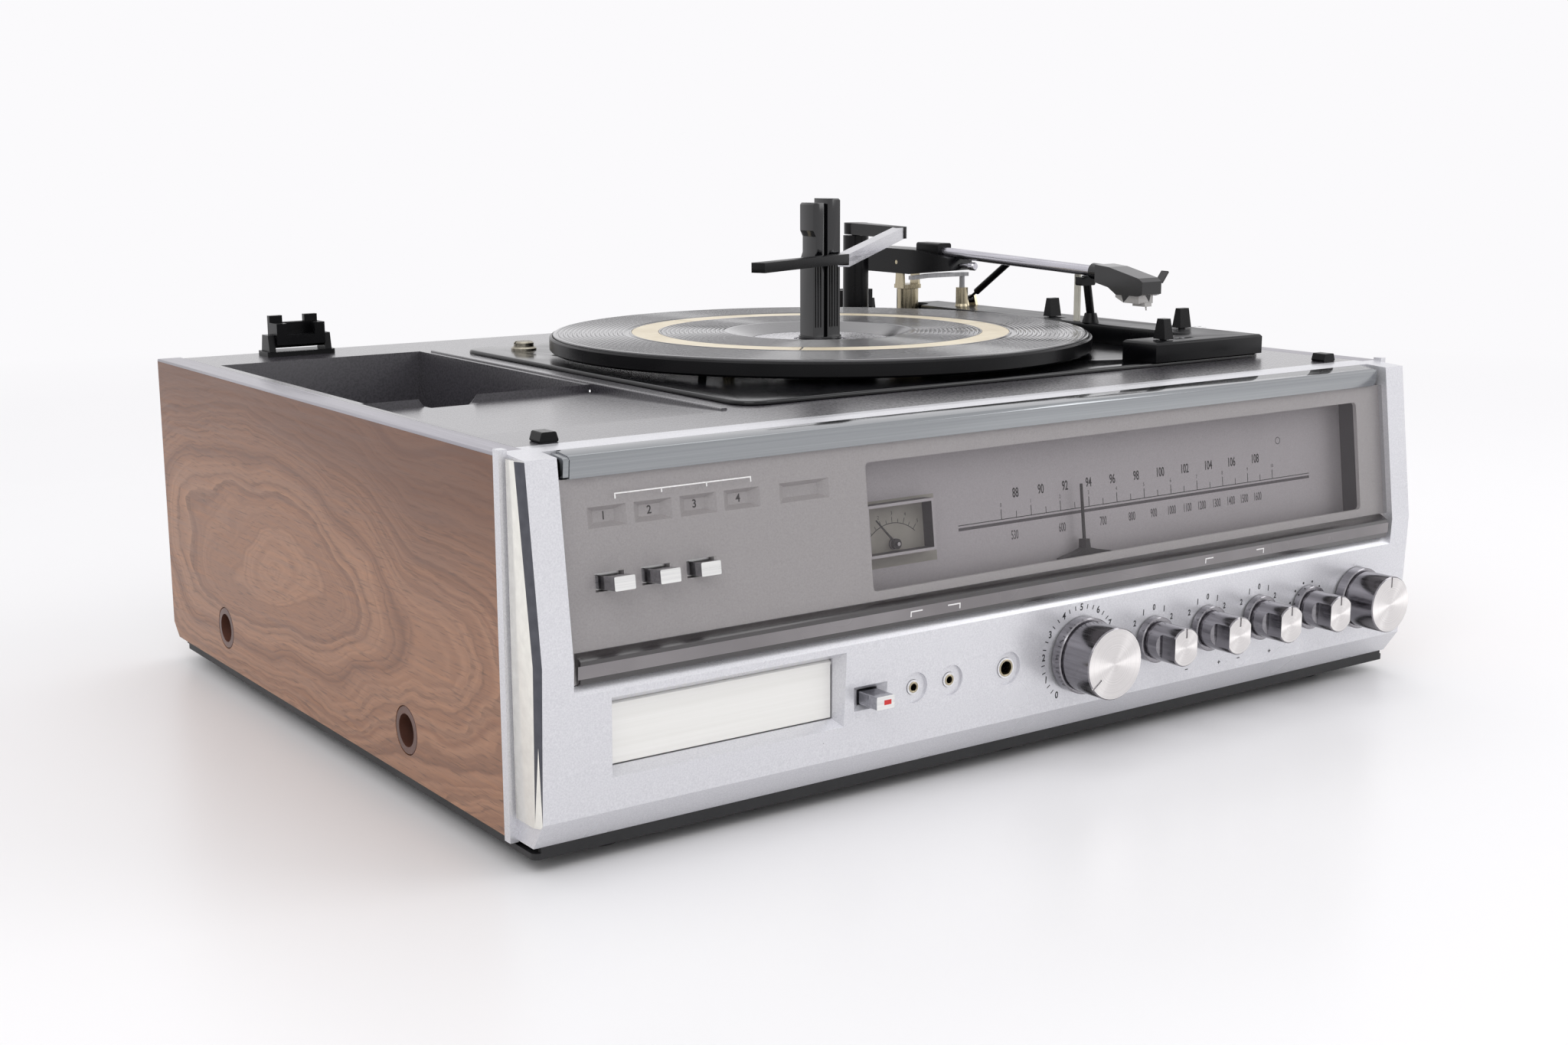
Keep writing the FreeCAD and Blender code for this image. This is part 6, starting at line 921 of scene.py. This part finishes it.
# brass mouths of the jacks
JACK_FRONT = -24.27
JACK_INNER = JACK_FRONT + 3.0
JACK_SEAT = JACK_FRONT + 0.02
JACK_EDGE = JACK_FRONT - 0.1
JACK_LIP = JACK_FRONT - 0.22
RIM_WALL = 0.55
rims = bmesh.new()
for x, bore in JACKS:
    outer = bore + RIM_WALL
    lip = [(bore - 0.25, JACK_INNER), (bore - 0.25, JACK_EDGE), (bore - 0.1, JACK_LIP)]
    lip += [(outer - 0.15, JACK_LIP), (outer, JACK_EDGE), (outer, JACK_SEAT)]
    lip += [(bore - 0.02, JACK_SEAT), (bore - 0.02, JACK_INNER)]
    lathe(rims, lip, (x, KNOB_Z), "Y", 48)
turned_piece("jack_rims", rims, LOOK["brass"], "cabinet")

# ribbed mat of the platter
PLATE_Z = 147.2  # top of the changer plate
MAT_BASE = PLATE_Z + 8.4
MAT_TOP = MAT_BASE + 2.4
MAT_R = 137.0
DISH_R = 48.5
DISH_Z = PLATE_Z + 6.4
DISH_FOOT_Z = PLATE_Z + 5.0
HUB_R = 36.2
STEP_R = (47.0, 50.0)  # the underside steps down between these radii
RING_R = (83.3, 97.1)
RING_SEAT = MAT_TOP - 0.5
RIB_PITCH = 2.3
RIB_W = 0.75
GROOVE = MAT_TOP - 0.7


def ribs(start, end):
    """Profile points of fine raised ribs from one radius to another, going inward."""
    points = [(start, GROOVE)]
    for n in range(int((start - end) / RIB_PITCH)):
        r = start - RIB_PITCH * (n + 0.5)
        points += [(r + RIB_W, GROOVE), (r + RIB_W * 0.45, MAT_TOP)]
        points += [(r - RIB_W * 0.45, MAT_TOP), (r - RIB_W, GROOVE)]
    return points + [(end, GROOVE)]


mat_profile = [(MAT_R, MAT_BASE), (MAT_R, MAT_TOP - 0.5), (MAT_R - 0.3, MAT_TOP - 0.1)]
mat_profile += [(MAT_R - 0.8, MAT_TOP), (MAT_R - 1.6, MAT_TOP), (MAT_R - 2.0, GROOVE)]
mat_profile += ribs(MAT_R - 2.2, RING_R[1] + 1.2)
mat_profile += [(RING_R[1] + out, MAT_TOP) for out in (0.7, 0.2)]
mat_profile += [(RING_R[1] + 0.1, RING_SEAT), (RING_R[0] - 0.1, RING_SEAT)]
mat_profile += [(RING_R[0] - out, MAT_TOP) for out in (0.2, 0.7)]
mat_profile += ribs(RING_R[0] - 1.0, DISH_R + 1.5)
mat_profile += [(DISH_R + 0.8, MAT_TOP), (DISH_R, MAT_TOP), (DISH_R - 0.8, MAT_TOP - 0.25)]
mat_profile += [(HUB_R, DISH_Z), (HUB_R, DISH_FOOT_Z)]
mat_profile += [(STEP_R[0], DISH_FOOT_Z), (STEP_R[1], MAT_BASE)]
mat_shape = bmesh.new()
lathe(mat_shape, mat_profile, SPINDLE, "Z", 200)
mat = turned_piece("mat_ribbed", mat_shape, LOOK["mat_black"], "turntable")
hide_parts("platter_mat")

# pale ring in the mat, in three pieces with narrow gaps
RING_STARTS = (228.0, 348.0, 108.0)
RING_GAP = 0.7  # degrees
RING_STEPS = 56
RING_TOP = -0.1
RING_FOOT = -0.42
pale_ring = mottled(
    "pale_ring", srgb(214, 202, 178), (0.42, 0.36, 0.48),
    srgb(204, 191, 166), srgb(224, 213, 190), (40.0, 4.0), (300.0, 3.0),
)
near, far = RING_R[0] + 0.1, RING_R[1] - 0.1
section = ((near, RING_FOOT), (near, RING_TOP), (far, RING_TOP), (far, RING_FOOT))
ring = bmesh.new()
for start in RING_STARTS:
    rows = []
    for n in range(RING_STEPS + 1):
        angle = math.radians(start + RING_GAP / 2 + (120 - RING_GAP) * n / RING_STEPS)
        row = []
        for r, z in section:
            x, y = SPINDLE[0] + r * math.cos(angle), SPINDLE[1] + r * math.sin(angle)
            row.append(ring.verts.new(at(x, y, MAT_TOP + z)))
        rows.append(row)
    for a, b in zip(rows, rows[1:]):
        for n in range(4):
            m = (n + 1) % 4
            ring.faces.new((a[n], b[n], b[m], a[m]))
    ring.faces.new(rows[0])
    ring.faces.new(rows[-1][::-1])
bmesh.ops.recalc_face_normals(ring, faces=ring.faces)
ring_mesh = bpy.data.meshes.new("mat_ring")
ring.to_mesh(ring_mesh)
ring.free()
add_object("mat_ring", ring_mesh, pale_ring, "turntable")


# ------------------------------------------------------------------- floor
FLOOR_REACH = 6.0
FADE_FROM, FADE_TO = 0.75, 1.7  # metres from the middle


def table_look():
    """Pale table. Its far part meets the plain background, also in metal and glass."""
    s = Shader("table_top", srgb(238, 237, 239), 0.32)
    s.rough(s.span(s.noise(3.0, 3.0), 0.28, 0.38, 0.3, 0.7))
    reach = s.length(s.vector("MULTIPLY", s.coord, (1, 1, 0)))
    far = s.times(s.span(reach, 0.0, 1.0, FADE_FROM, FADE_TO), watching_rays(s.tree))
    glow = s.node("Emission", {"Color": SEEN, "Strength": 1.0})
    blend = s.node("MixShader", {0: far, 1: s.bsdf.outputs[0], 2: glow})
    s.tree.links.new(blend, s.tree.nodes["Material Output"].inputs[0])
    return s.mat


floor_shape = bmesh.new()
bmesh.ops.create_grid(floor_shape, x_segments=1, y_segments=1, size=FLOOR_REACH)
floor_mesh = bpy.data.meshes.new("floor")
floor_shape.to_mesh(floor_mesh)
floor_shape.free()
floor_mesh.materials.append(table_look())
floor = bpy.data.objects.new("floor", floor_mesh)
scene.collection.objects.link(floor)
